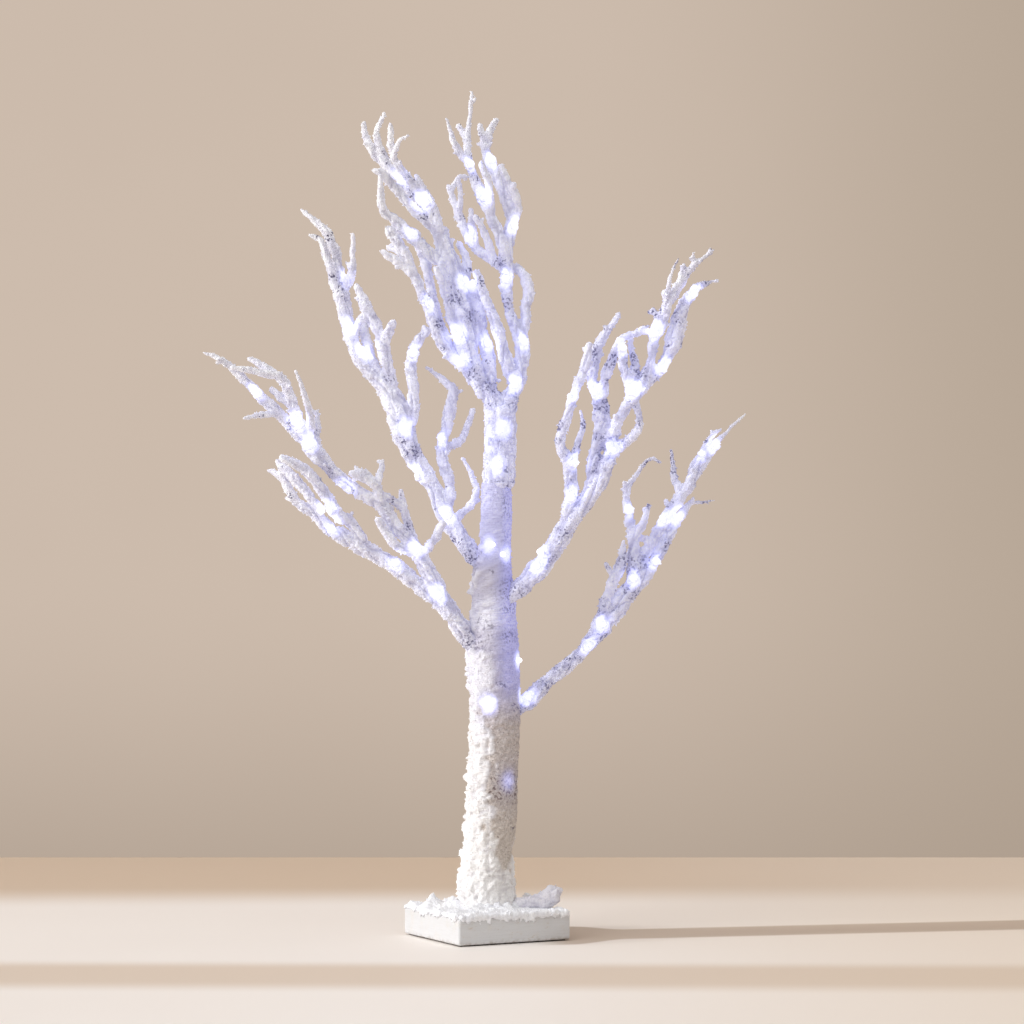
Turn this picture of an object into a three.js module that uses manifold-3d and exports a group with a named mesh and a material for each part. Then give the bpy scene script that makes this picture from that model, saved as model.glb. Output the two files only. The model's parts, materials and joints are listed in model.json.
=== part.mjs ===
// Snow-covered twig tree with small lamps, standing on a square base that holds its battery cells.
// Millimetres, +Z up. The origin is the middle of the base's underside, X and Y follow the base's edges.
import * as THREE from 'three';
import { mergeVertices } from 'three/addons/utils/BufferGeometryUtils.js';
import Module from 'manifold-3d';

const wasm = await Module();
wasm.setup();

// Clearances
const fit = 0.3; // round a fixed piece in its hole, groove or pocket
const slip = 0.35; // round a piece that moves

// Base block and what covers it
const baseSide = 88;
const baseCorner = 2;
const blockHeight = 18;
const blockChamfer = 0.8;
const feltThickness = 1;
const feltMargin = 2;
const blockTop = feltThickness + blockHeight;
const snowDepth = 2.5;
const snowMargin = 1;

// Cell bay under the base
const cellDiameter = 10.5;
const cellLength = 44.5;
const cellCount = 3;
const cellNubDiameter = 3.8;
const cellNubLength = 0.8;
const springLength = 3;
const contactThickness = 0.4;
const trayWall = 1;
const bayCentreX = -2;
const bayCentreY = 24.1;
const coverThickness = 1.5;
const coverTravel = 6;
const railHeight = 0.7;
const railDepth = 0.8;

// Timer board and slide switch
const boardLength = 40;
const boardWidth = 22;
const boardThickness = 1.2;
const boardInset = 11;
const boardCentre = [baseSide / 2 - boardInset - boardLength / 2, -20.5];
const boardDrop = 4.5;
const roomMargin = 1.5;
const roomHeight = 11;
const screwDiameter = 1.8;
const screwHeadDiameter = 3.6;
const screwLength = 4;
const postDiameter = 5;
const chipSize = [7, 5, 1.6];
const switchLength = 12.8;
const switchDepth = 6.4;
const switchHeight = 5.6;
const switchWall = 0.9;
const knobTravel = 5;
const knobStem = [4, 2.4];
const knobFlange = [5.6, 3.4, 1.6];
const knobReach = 1.8;
const leadDiameter = 1.6;

// Trunk: rod, nut and washer at its foot, and the two lengths of wrapping
const rodDiameter = 5;
const rodTop = 372;
const nutAcross = 8;
const nutHeight = 4;
const washerDiameter = 10;
const washerThickness = 1.2;
const footPocket = 6.5;
const trunkSides = 12;
const stubDiameter = 2.6;
const stubRise = 6;
const trunkLeadDepth = -9;
const trunkLeadHeights = [20, 60, 112, 166, 197, 240, 276, 335, 361];

// Limbs: wire inside, lamp lead along it, lamps
const twigSides = 3;
const branchSides = 4;
const branchFrom = 3.3;
const stemSides = 6;
const stemFrom = 6;
const wireDiameter = 1.8;
const lampLead = 1.4;
const wireOffset = 2.4;
const lampDiameter = 4.4;
const lampLength = 7;
const lampShow = 3.2;
const lampSides = 5;
const rootReach = 0.6; // how far a stem reaches back past its bend, as a share of its radius there
const swingReach = 22;
const swingFlare = 0.3;

// The tree is turned on its base. Its outline below was measured square on from viewDistance,
// where the eye was level with eyeHeight and stood eyeSide to the right of the base's middle.
const treeTurn = THREE.MathUtils.degToRad(-27.4);
const viewDistance = 2556;
const eyeSide = 18;
const eyeHeight = 302;
const measuredBlockTop = 19;

// Trunk outline, each row: height, sideways place of the middle, radius
const trunkLower = [
  [20, 0.6, 20], [40, 0, 18.5], [60, 0.8, 16.4], [82, 3.6, 17.5], [118, 5, 17], [166, 7, 17],
  [200, 5, 18], [240, 4.8, 15.2], [262, 3.9, 13.5], [276, 6.3, 10.8], [300, 7, 11], [323, 6.9, 10.4],
];
const trunkUpper = [
  [323.6, 8.8, 11.6], [345, 9.4, 11], [366, 9.9, 10.9], [376, 9.8, 12], [382, 10, 12],
];

// Lamps on the trunk, each row: height, how far round from the front in degrees (+ to the right)
const trunkLamps = [
  [112, 38], [166, -16], [197, 72], [272, 44], [279, -24], [335, -8], [352, -48], [361, 12],
];

// Limbs. root is the measured place of the bend at the trunk, round its direction from the trunk in
// degrees, sink how deep the bend lies under the bark, lean the slope away from the viewer.
// A strand's rows are: sideways place, height, radius; its depth beside the limb's plane runs between
// the two numbers that come first. wire and leads give the places that those run through in the same
// way. A lamp's row is: which lead, how many places along it, the branch's radius there, and how far
// the lamp turns from the front in degrees.
const limbs = [
  {
    name: 'low_left', root: [-9, 208], round: 200, sink: 2.5, lean: -0.2,
    strands: [
      [0, 0, [[-9, 208, 6.5], [-18, 220, 7], [-32, 241, 6.2], [-49, 274, 6], [-64, 291, 4.6],
        [-75, 307, 4.6], [-92, 317, 4.2], [-110, 331, 4.6], [-126, 350, 6.6]]],
      [0, 6, [[-122, 346, 5], [-133, 358, 4.2], [-147, 371, 4.4], [-175, 399, 3.2], [-188, 410, 2],
        [-200, 415, 0.9]]],
      [0, -9, [[-126, 350, 4.4], [-134, 369, 3.6], [-144, 395, 3.6], [-156, 400, 3],
        [-180, 404, 1.6]]],
      [0, -14, [[-126, 351, 3.4], [-125, 372, 2.7], [-135, 402, 1.2]]],
      [0, 9, [[-49, 275, 4], [-56, 294, 3.4], [-60, 317, 1.5]]],
      [0, -7, [[-75, 306, 3.8], [-78, 321, 3.3], [-96, 329, 2.2]]],
      [0, -6, [[-47, 272, 4], [-38, 281, 3.5], [-31, 294, 2.8]]],
      [0, 8, [[-28, 235, 6], [-40, 244, 6], [-65, 264, 6], [-80, 272, 6], [-96, 282, 5.8]]],
      [8, 14, [[-93, 280, 5], [-110, 289, 5.3], [-120, 300, 4.2], [-136, 311, 3.6],
        [-148, 338, 2]]],
      [7, -7, [[-87, 277, 4.4], [-94, 292, 4], [-106, 301, 4.3], [-116, 318, 4], [-129, 332, 3.8],
        [-145, 341, 2.4]]],
    ],
    wire: [0, 0, [[-18, 220], [-30, 238], [-41, 259], [-49, 274], [-75, 307], [-92, 317]]],
    leads: [
      [0, 0, [[-18, 220], [-32, 241], [-49, 274], [-75, 307], [-92, 317], [-110, 331], [-124, 348]]],
      [0, 3, [[-124, 348], [-133, 358], [-147, 371], [-160, 384]]],
      [0, 8, [[-28, 235], [-40, 244], [-65, 264], [-80, 272], [-94, 281], [-109, 288]]],
      [5.6, -5, [[-87, 276.5], [-94, 292], [-106, 301], [-116, 318], [-129, 332]]],
    ],
    lamps: [
      [0, 1, 6.2, -10], [0, 2, 6, 5], [0, 4, 4.2, -60], [0, 6, 6, 0], [1, 1.5, 4.3, 45],
      [1, 3, 3.7, -20], [2, 2, 6, 10], [2, 5, 5.3, 0], [3, 2, 4.2, -50],
    ],
  },
  {
    name: 'mid_left', root: [-5.5, 267], round: 160, sink: 1.6, lean: 0.18,
    strands: [
      [0, 0, [[-5.5, 267, 6], [-14, 278, 6.6], [-28, 298, 6.8], [-38, 320, 6.1], [-51, 340, 6.6],
        [-59, 358, 9], [-64, 376, 8.5], [-72, 393, 7]]],
      [0, -6, [[-70, 389, 5.8], [-84, 402, 5.5], [-91, 412, 5.2], [-99, 433, 4.2],
        [-112, 478, 3.2], [-118, 495, 2.6], [-125, 499, 1.4]]],
      [-2, 12, [[-93, 415, 4.6], [-99, 442, 4.4], [-109, 490, 3.8], [-119, 506, 3],
        [-132, 517, 1]]],
      [0, -12, [[-66, 382, 5], [-71, 408, 4.4], [-76, 428, 5], [-86, 447, 4.4], [-92, 463, 2]]],
      [0, -10, [[-57, 354, 5], [-52, 378, 4.5], [-53, 415, 4], [-42, 431, 3.4]]],
      [0, 10, [[-29, 299, 5], [-26, 320, 3.6], [-32, 345, 4.4], [-25, 379, 4.6], [-25, 391, 3.6],
        [-43, 405, 1]]],
      [5, 14, [[-31, 346, 3.4], [-18, 354, 3], [-10, 374, 2]]],
      [0, -8, [[-25, 295, 3.6], [-7, 314, 2.5], [-17, 340, 1.6]]],
    ],
    wire: [0, 0, [[-14, 278], [-28, 297], [-38, 320], [-51, 340], [-59, 358], [-64, 376]]],
    leads: [
      [0, 0, [[-14, 278], [-28, 298], [-38, 320], [-51, 340], [-59, 360], [-70, 389]]],
      [0, -1, [[-70, 389], [-84, 402], [-93, 415]]],
      [-2, 8, [[-93, 415], [-99, 442], [-109, 490]]],
      [0, -7, [[-57, 356], [-52, 378], [-53, 413]]],
      [0, 5, [[-29, 299], [-26, 320], [-32, 345], [-29, 361]]],
    ],
    lamps: [
      [0, 1, 6.8, 0], [0, 2.3, 6.2, -70], [0, 4, 9.2, 15], [1, 2, 5, 50], [2, 0.6, 4.4, -10],
      [2, 1.5, 4.2, 60], [3, 2, 4, 15], [4, 2.5, 4.4, -15],
    ],
  },
  {
    name: 'crown_left', root: [3.6, 381], round: 180, sink: 5.4, lean: -0.03,
    strands: [
      [0, 0, [[3.6, 381, 6.2], [-3, 391, 7.4], [-12, 402, 6.2], [-18, 408, 5]]],
      [0, -14, [[-17, 406, 4.4], [-28, 416, 3.9], [-36, 430, 4], [-52, 470, 3.8], [-74, 487, 2.2]]],
      [0, 12, [[-16, 406, 4.4], [-31, 430, 3.8], [-46, 487, 3.3], [-58, 499, 2.8], [-70, 500, 2]]],
      [0, 4, [[-4, 391, 6.5], [-13, 415, 7.5], [-16, 440, 7.5], [-22, 463, 6.5], [-36, 506, 4.8],
        [-42, 524, 4.4], [-50, 541, 1.6]]],
      [4, -12, [[-34, 500, 4.2], [-60, 526, 3.6], [-71, 541, 3.2], [-80, 544, 2]]],
      [4, 16, [[-37, 511, 4.2], [-52, 529, 3.6], [-77, 554, 3.3], [-85, 567, 2.6],
        [-86, 578, 1.6]]],
      [12, 6, [[-68, 546, 3.3], [-78, 568, 2.5], [-72.5, 585, 0.9]]],
      [4, -10, [[-43, 523, 3.6], [-65, 553, 3], [-68, 578, 1.4]]],
      [2, -14, [[-27, 478, 4.6], [-40, 486, 4.8], [-52, 498, 5], [-66, 510, 3.8], [-74, 518, 3.3],
        [-75, 541, 1.4]]],
      [0, 14, [[-11, 418, 4.6], [-10, 448, 4.4], [-28, 492, 4], [-31, 502, 3.4]]],
      [0, 6, [[3, 386, 4.8], [2.5, 400, 4.8], [1.5, 412, 4.8], [-2, 428, 4.4], [-9, 466, 3]]],
    ],
    wire: [0, 2.7, [[-4, 391], [-13, 415], [-16, 440], [-22, 463], [-29, 485]]],
    leads: [
      [0, 4, [[-4, 391], [-13, 415], [-16, 440], [-22, 463], [-36, 506], [-41, 520]]],
      [0, -8, [[-6, 394], [-17, 406], [-28, 416], [-36, 430], [-43, 448]]],
      [2, -11, [[-27, 478], [-40, 486], [-52, 498], [-63, 507]]],
      [4, 10, [[-37, 511], [-52, 529], [-62, 539]]],
      [0, 4, [[-4, 391], [1, 408], [-3, 432]]],
    ],
    lamps: [
      [0, 1.4, 7.5, -40], [0, 3, 6.5, 60], [0, 5, 4.4, -30], [1, 1, 4.6, -10], [1, 4, 4, 30],
      [2, 2, 5, 0], [3, 2, 3.6, 20], [4, 1.5, 4.2, 30],
    ],
  },
  {
    name: 'crown_right', root: [16.4, 381], round: 0, sink: 5.4, lean: 0.06,
    strands: [
      [0, 0, [[16.4, 381, 5], [20, 390, 6], [24, 405, 6], [25, 421, 5.4], [21, 433, 4.8],
        [15, 449, 4.2], [14, 480, 4.2]]],
      [0, 8, [[24, 424, 4.4], [28, 447, 3.5], [29, 463, 3.5], [24, 473, 3.4], [13, 476, 3.4]]],
      [0, -14, [[20, 392, 5], [13, 412, 5], [8, 430, 4.4], [-8, 472, 2.8]]],
      [0, -10, [[14, 476, 4.2], [10, 494, 4], [-5, 531, 4], [-13, 549, 3.3]]],
      [-9, -16, [[-12, 547, 3], [-22, 562, 2.4], [-29, 582, 1]]],
      [-10, 2, [[-12, 546, 3], [-14, 566, 2.7], [-10, 600, 0.9]]],
      [0, 10, [[14, 477, 4.2], [17, 503, 4.4], [16, 518, 4.2], [2, 552, 4], [-5, 577, 2]]],
      [0, 12, [[13, 476, 4.2], [-2, 485, 3.8], [-12, 495, 3.4], [-27, 533, 2.2]]],
    ],
    wire: [0, 0, [[20, 390], [24, 405], [25, 420], [21, 433], [15, 449], [13.5, 465]]],
    leads: [
      [0, 0, [[20, 390], [24, 405], [25, 421], [21, 433], [15, 449], [14, 466], [14, 478]]],
      [0, 8, [[14, 478], [17, 503], [16, 518], [3, 550]]],
      [0, -9, [[14, 478], [10, 494], [-5, 531], [-12, 547]]],
      [0, 7, [[13, 477], [-2, 485], [-12, 495]]],
    ],
    lamps: [
      [0, 0, 6, 0], [0, 2, 5.4, 15], [0, 5, 4.2, 0], [1, 1, 4.4, 25], [1, 3, 4, 10],
      [2, 1.8, 4, 0], [2, 3, 3.4, 10], [3, 2, 3.4, -10],
    ],
  },
  {
    name: 'high_right', root: [16.8, 243], round: -20, sink: 2, lean: -0.18,
    strands: [
      [0, 0, [[16.8, 243, 6.4], [27, 251, 6.8], [37, 262, 7.5], [45, 272, 7.3], [54, 287, 7.5],
        [62, 299, 7]]],
      [0, -10, [[57, 293, 5.4], [60, 322, 5.2], [58, 335, 4.6], [53.5, 346, 3.9], [53, 357, 3.6],
        [62, 385, 3.4], [71, 410, 3.2], [73, 421, 2]]],
      [0, 0, [[60, 297, 6], [78, 320, 6.6], [88, 344, 4.7], [87, 355, 4.8]]],
      [0, 8, [[73, 311, 5.4], [77, 345, 4.7], [82, 359, 6], [79, 384, 6], [75, 396, 4.8],
        [79, 419, 3.4], [94, 442, 2]]],
      [0, -8, [[87, 352, 5], [92, 366, 3.8], [99, 376, 4.4], [103, 386, 5], [97, 405, 3.4],
        [95, 424, 3.2]]],
      [0, 0, [[88, 344, 4], [106, 358, 2.8], [108.5, 369, 2.4], [103, 386, 3]]],
      [4, -8, [[81, 380, 4.6], [83, 394, 4], [95, 423, 3.4], [110, 430, 2.2], [119, 429, 2.4]]],
      [-5, -2, [[103, 384, 4.3], [111, 392, 4.5], [117, 412, 3.7], [119, 428, 3.9],
        [128, 448, 3.6], [136, 465, 2.1]]],
      [-3, 10, [[111, 392, 4.2], [122, 402, 4.3], [132, 422, 5.7], [138, 444, 5], [144, 455, 4.3],
        [151, 462, 2.8], [164, 466.5, 0.8]]],
      [-2, 2, [[128, 448, 3.3], [145, 474, 2.2], [161.5, 488, 0.7]]],
    ],
    wire: [0, 0, [[27, 251], [36, 261], [45, 272], [54, 287], [60, 298], [78, 320]]],
    leads: [
      [0, 0, [[27, 251], [37, 262], [45, 272], [54, 287], [62, 299], [78, 320], [88, 344]]],
      [0, -9, [[58, 295], [60, 322], [58, 335], [53.5, 346], [53, 357], [61, 382]]],
      [0, 6, [[73, 312], [77, 345], [82, 359], [79, 385]]],
      [0, -6, [[88, 344], [92, 366], [99, 376], [103, 386], [97, 405], [95, 417]]],
      [-5, -2, [[103, 385], [111, 392], [117, 412], [119, 427]]],
      [-3, 7, [[111, 392], [122, 402], [132, 422], [138, 444], [144, 455]]],
    ],
    lamps: [
      [0, 1, 7.5, -10], [0, 2, 7.3, -60], [0, 6, 4.7, 10], [1, 0.6, 5.3, 5], [1, 2, 4.6, 50],
      [1, 5, 3.4, 0], [2, 3, 6, -25], [3, 3, 5, 0], [3, 5, 3.3, 20], [4, 3, 3.9, 0],
      [5, 1, 4.3, 30], [5, 4, 4.3, 20],
    ],
  },
  {
    name: 'low_right', root: [21, 162], round: 20, sink: 2, lean: 0.24,
    strands: [
      [0, 0, [[21, 162, 6.4], [31, 169, 6.8], [42, 180, 6.1], [61, 196, 4.6], [70, 205, 4.8],
        [83, 221, 7]]],
      [0, -10, [[78, 213, 5.2], [84, 238, 4.4], [95, 264, 4], [97, 282, 1.3]]],
      [0, -4, [[81, 217, 6], [95, 240, 6], [104, 253, 6], [104, 281, 4.8], [100.5, 306, 3],
        [100.5, 319, 2.4], [115, 339, 1.5], [124, 337, 0.9]]],
      [0, 6, [[88, 226, 5.6], [111, 256, 6], [119, 266, 4.3], [132, 290, 4.3], [145, 309, 1.8]]],
      [3, -3, [[109, 253, 4.8], [112, 270, 3.5], [131, 303, 4.2], [144, 321, 4.6], [149, 334, 4.4],
        [160, 355, 2.1], [167, 361, 1]]],
      [-2, 12, [[139, 314, 3.6], [133, 328, 2.3], [131.5, 346, 0.9]]],
      [-1, 11, [[142, 318, 4.4], [157, 342, 3.6], [168, 356, 1.6], [184, 372, 0.7]]],
    ],
    wire: [0, 0, [[31, 169], [42, 180], [52, 188], [61, 196], [68, 202], [83, 221]]],
    leads: [
      [0, 0, [[31, 169], [42, 180], [61, 196], [70, 205], [83, 220]]],
      [0, -3, [[83, 220], [95, 240], [104, 253], [104, 281], [101, 302]]],
      [0, 5, [[83, 220], [111, 256], [119, 266], [132, 290], [137, 297]]],
      [1.25, -2, [[111, 256], [112, 270], [131, 303], [144, 321], [149, 334], [153, 342]]],
      [-0.7, 6, [[144, 321], [157, 342], [162, 348]]],
    ],
    lamps: [
      [0, 0, 6.8, -10], [0, 3, 4.8, 20], [0, 4, 7, 0], [1, 2, 6, 0], [1, 4, 3.2, 10],
      [2, 2, 4.4, 10], [2, 4, 4, 0], [3, 1.8, 3.8, -20], [3, 5, 3.8, 0], [4, 2, 2.8, 10],
    ],
  },
];

// Snow heaped on the base, in the tree's own directions, each row: sideways, depth, height, spread
const snowHeaps = [
  [-50, 12, 5, 6], [-38, 6, 8, 5], [-26, 0, 5, 9], [-8, -26, 3, 14], [24, 14, 7, 8], [36, 16, 5, 7],
  [-22, 22, 5, 10], [8, 34, 4, 12], [12, -24, 3, 8],
];
const snowSteps = 8;
const snowRipple = 0.5;

// Clump of snow from the trunk's foot to the base's edge, each row: sideways, depth, height, radius
const clumpPath = [
  [21, -6, 25, 3.5], [30, -7, 25.5, 4.5], [40, -5, 27, 6], [47, -3, 30, 7], [49, -1, 35, 4.5],
];

const finish = {
  snow: { color: 0xf4f3f8, roughness: 0.95, metalness: 0 },
  wrapping: { color: 0xcfc8c6, roughness: 0.95, metalness: 0 },
  paint: { color: 0xf1eeea, roughness: 0.6, metalness: 0 },
  felt: { color: 0x3d3530, roughness: 1, metalness: 0 },
  steel: { color: 0xa6a8ab, roughness: 0.35, metalness: 1 },
  wire: { color: 0x6d5a48, roughness: 0.6, metalness: 0.7 },
  lamp: { color: 0xf3f6ff, roughness: 0.2, metalness: 0 },
  plastic: { color: 0xe6e4df, roughness: 0.5, metalness: 0 },
  dark: { color: 0x26282b, roughness: 0.5, metalness: 0 },
  board: { color: 0x2f6b46, roughness: 0.6, metalness: 0 },
  cell: { color: 0x54707e, roughness: 0.35, metalness: 0.3 },
};

function solid(geometry) {
  const bare = geometry.clone();
  bare.deleteAttribute('normal');
  bare.deleteAttribute('uv');
  const merged = mergeVertices(bare, 1e-4);
  const corners = merged.index.array;
  const triVerts = [];
  for (let i = 0; i < corners.length; i += 3) {
    const [a, b, c] = [corners[i], corners[i + 1], corners[i + 2]];
    if (a !== b && b !== c && c !== a) triVerts.push(a, b, c);
  }
  return new wasm.Manifold(new wasm.Mesh({
    numProp: 3,
    vertProperties: new Float32Array(merged.attributes.position.array),
    triVerts: new Uint32Array(triVerts),
  }));
}

function join(solids) {
  return solids.reduce((whole, piece) => whole.add(piece));
}

function cut(body, tools) {
  return tools.reduce((rest, tool) => rest.subtract(tool), body);
}

function piece(name, body, look) {
  const { vertProperties, triVerts } = body.getMesh();
  const geometry = new THREE.BufferGeometry();
  geometry.setAttribute('position', new THREE.BufferAttribute(new Float32Array(vertProperties), 3));
  geometry.setIndex(new THREE.BufferAttribute(new Uint32Array(triVerts), 1));
  geometry.computeVertexNormals();
  const mesh = new THREE.Mesh(geometry, new THREE.MeshStandardMaterial(look));
  mesh.name = name;
  return mesh;
}

// A box standing on bottom, with its middle at x and y
function block(width, depth, height, x, y, bottom) {
  return solid(new THREE.BoxGeometry(width, depth, height).translate(x, y, bottom + height / 2));
}

// An upright round bar or hole standing on bottom
function bar(diameter, height, x, y, bottom, sides = 12) {
  const geometry = new THREE.CylinderGeometry(diameter / 2, diameter / 2, height, sides);
  return solid(geometry.rotateX(Math.PI / 2).translate(x, y, bottom + height / 2));
}

// A round bar lying along X, starting at x
function lyingBar(diameter, length, x, y, z, endDiameter = diameter) {
  const geometry = new THREE.CylinderGeometry(endDiameter / 2, diameter / 2, length, 12);
  return solid(geometry.rotateZ(-Math.PI / 2).translate(x + length / 2, y, z));
}

function roundedSquare(side, corner) {
  const half = side / 2;
  const inner = half - corner;
  const shape = new THREE.Shape();
  shape.absarc(inner, inner, corner, 0, Math.PI / 2, false);
  shape.absarc(-inner, inner, corner, Math.PI / 2, Math.PI, false);
  shape.absarc(-inner, -inner, corner, Math.PI, Math.PI * 1.5, false);
  shape.absarc(inner, -inner, corner, Math.PI * 1.5, Math.PI * 2, false);
  return shape;
}

function plate(side, corner, height, bottom, chamfer = 0) {
  const geometry = new THREE.ExtrudeGeometry(roundedSquare(side, corner), {
    depth: height - 2 * chamfer,
    curveSegments: 3,
    bevelEnabled: chamfer > 0,
    bevelThickness: chamfer,
    bevelSize: chamfer,
    bevelOffset: -chamfer,
    bevelSegments: 1,
  });
  return solid(geometry.translate(0, 0, bottom + chamfer));
}

// A tube through points, with a ring of its own radius at each, its flat ends closed
function taperedTube(points, radii, sides, side = new THREE.Vector3(0, 1, 0)) {
  const positions = [];
  points.forEach((point, i) => {
    const before = points[Math.max(i - 1, 0)];
    const after = points[Math.min(i + 1, points.length - 1)];
    const along = after.clone().sub(before).normalize();
    const across = new THREE.Vector3().crossVectors(side, along).normalize();
    const up = new THREE.Vector3().crossVectors(along, across);
    for (let k = 0; k < sides; k += 1) {
      const angle = (2 * Math.PI * k) / sides;
      const rim = point.clone();
      rim.addScaledVector(across, radii[i] * Math.cos(angle));
      rim.addScaledVector(up, radii[i] * Math.sin(angle));
      positions.push(rim.x, rim.y, rim.z);
    }
  });
  const faces = [];
  for (let ring = 0; ring < points.length - 1; ring += 1) {
    for (let k = 0; k < sides; k += 1) {
      const [a, b] = [ring * sides + k, ring * sides + ((k + 1) % sides)];
      faces.push(a, b, b + sides, a, b + sides, a + sides);
    }
  }
  const last = (points.length - 1) * sides;
  for (let k = 1; k < sides - 1; k += 1) {
    faces.push(0, k + 1, k, last, last + k, last + k + 1);
  }
  const geometry = new THREE.BufferGeometry();
  geometry.setAttribute('position', new THREE.Float32BufferAttribute(positions, 3));
  geometry.setIndex(faces);
  return solid(geometry);
}

function tube(points, radius, sides = 4, side = undefined) {
  return taperedTube(points, points.map(() => radius), sides, side);
}

// A lamp whose tip is reach away from its lead, and the short lead behind one that is set far out
function lamp(from, heading, reach, length) {
  const radius = lampDiameter / 2;
  const profile = [[0, 0], [radius, length * 0.3], [radius, length * 0.7], [0, length]];
  const geometry = new THREE.LatheGeometry(profile.map(([x, y]) => new THREE.Vector2(x, y)), lampSides);
  const turn = new THREE.Quaternion().setFromUnitVectors(new THREE.Vector3(0, 1, 0), heading);
  const start = from.clone().addScaledVector(heading, reach - length);
  const body = solid(geometry.applyQuaternion(turn).translate(start.x, start.y, start.z));
  if (length === reach) return body;
  const inside = start.clone().addScaledVector(heading, 1);
  return body.add(tube([from, inside], lampLead / 2, 4, new THREE.Vector3(0, 0, 1)));
}

// Square hole that a lamp and the lead behind it sit in
function lampHole(from, heading, reach, length) {
  const up = new THREE.Vector3(0, 0, 1);
  const start = from.clone().addScaledVector(heading, reach - length - fit);
  const end = from.clone().addScaledVector(heading, reach + lampLength);
  const hole = tube([start, end], (lampDiameter / 2 + fit) * Math.SQRT2, 4, up);
  return reach > length ? hole.add(tube([from, end], lampLead / 2 + fit, 4, up)) : hole;
}

// Middle and radius of the trunk at a height
function trunkAt(height) {
  const rows = [...trunkLower, ...trunkUpper];
  const above = rows.findIndex((row) => row[0] >= height);
  const next = above < 0 ? rows.length - 1 : Math.max(1, above);
  const [low, high] = [rows[next - 1], rows[next]];
  const share = THREE.MathUtils.clamp((height - low[0]) / (high[0] - low[0]), 0, 1);
  return {
    centre: new THREE.Vector3(THREE.MathUtils.lerp(low[1], high[1], share), 0, height),
    radius: THREE.MathUtils.lerp(low[2], high[2], share),
  };
}

// Base

const trayLength = cellLength + springLength + contactThickness + fit + 2 * trayWall;
const trayWidth = cellCount * (cellDiameter + fit) + 2 * trayWall;
const trayBottom = feltThickness + coverThickness + fit;
const trayHeight = cellDiameter + fit + trayWall;
const coverLength = trayLength + 2 * fit;
const coverWidth = trayWidth;
const coverZoneLength = coverLength + coverTravel + 2 * slip;
const coverZoneWidth = coverWidth + 2 * slip;
const coverZoneX = bayCentreX + coverTravel / 2;
const railBottom = feltThickness + (coverThickness - railHeight) / 2;
const cavityStart = bayCentreX - trayLength / 2 + trayWall;
const roomLength = boardLength + 2 * roomMargin;
const roomWidth = boardWidth + 2 * roomMargin;
const roomTop = feltThickness + roomHeight;
const boardBottom = roomTop - boardDrop;
const roomEnd = boardCentre[0] + boardLength / 2 + roomMargin;
const switchX = baseSide / 2 - (baseSide / 2 - roomEnd) - fit - switchDepth / 2;
const switchBottom = boardBottom - fit - switchHeight;
const knobZ = switchBottom + switchHeight / 2;
const cavityLength = knobFlange[0] + knobTravel + 2 * slip;
const postPlaces = [-1, 1].map((end) => [
  boardCentre[0] + end * (boardLength / 2 - postDiameter), boardCentre[1] + boardWidth / 2 - postDiameter / 2,
]);
const leadX = bayCentreX + trayLength / 4;
const leadRoomWidth = leadDiameter + 2 * fit;
const leadZ = trayBottom + leadDiameter / 2 + fit;
const screwHole = screwDiameter + 2 * fit;

function baseBlock() {
  const body = plate(baseSide, baseCorner, blockHeight, feltThickness, blockChamfer);
  const bayTop = trayBottom + trayHeight + fit;
  const bay = block(
    trayLength + 2 * fit, trayWidth + 2 * fit, bayTop, bayCentreX, bayCentreY, 0,
  );
  const coverZone = block(
    coverZoneLength, coverZoneWidth, feltThickness + coverThickness + fit, coverZoneX, bayCentreY, 0,
  );
  const railZone = block(
    coverZoneLength, coverZoneWidth + 2 * railDepth, railHeight + 2 * slip,
    coverZoneX, bayCentreY, railBottom - slip,
  );
  const room = block(roomLength, roomWidth, roomTop, ...boardCentre, 0);
  const leadRoomHeight = leadZ + leadDiameter / 2 + fit;
  const leadRun = bayCentreY - boardCentre[1];
  const leadRoom = block(
    leadRoomWidth, leadRun, leadRoomHeight, leadX, boardCentre[1] + leadRun / 2, 0,
  );
  const slotLength = knobStem[0] + knobTravel + 2 * slip;
  const slotStart = roomEnd - 1;
  const slotDepth = baseSide / 2 + 1 - slotStart;
  const slot = block(
    slotDepth, slotLength, knobStem[1] + 2 * slip,
    slotStart + slotDepth / 2, boardCentre[1], knobZ - knobStem[1] / 2 - slip,
  );
  const rodHole = bar(rodDiameter + 2 * fit, blockTop + 1, 0, 0, 0);
  const foot = bar(washerDiameter + 2 * fit, feltThickness + footPocket, 0, 0, 0);
  const lead = trunkLeadStart();
  const leadHole = bar(lampLead + 4 * fit, blockTop + 1, lead.x, lead.y, 0, 8);
  const hollow = cut(body, [bay, coverZone, railZone, room, leadRoom, slot, rodHole, foot, leadHole]);
  const posts = postPlaces.map(([x, y]) => bar(
    postDiameter, boardDrop - boardThickness + 1, x, y, boardBottom + boardThickness,
  ));
  const screwHoles = postPlaces.map(([x, y]) => bar(
    screwHole, screwLength, x, y, boardBottom + boardThickness - 1, 10,
  ));
  return cut(join([hollow, ...posts]), screwHoles);
}

function baseFelt() {
  const sheet = plate(baseSide - 2 * feltMargin, baseCorner, feltThickness, 0);
  const window = block(
    coverZoneLength + 2, coverZoneWidth + 2 * railDepth, 3 * feltThickness,
    coverZoneX, bayCentreY, -feltThickness,
  );
  return sheet.subtract(window);
}

// Height of the snow over the base at a place in the tree's directions
function snowHeight(x, y) {
  const ripple = snowRipple * (Math.sin(x * 0.5) + Math.cos(y * 0.43 + x * 0.2));
  return snowHeaps.reduce((height, [cx, cy, rise, spread]) => {
    const away = ((x - cx) ** 2 + (y - cy) ** 2) / spread ** 2;
    return height + rise * Math.exp(-away);
  }, snowDepth + ripple);
}

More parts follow.
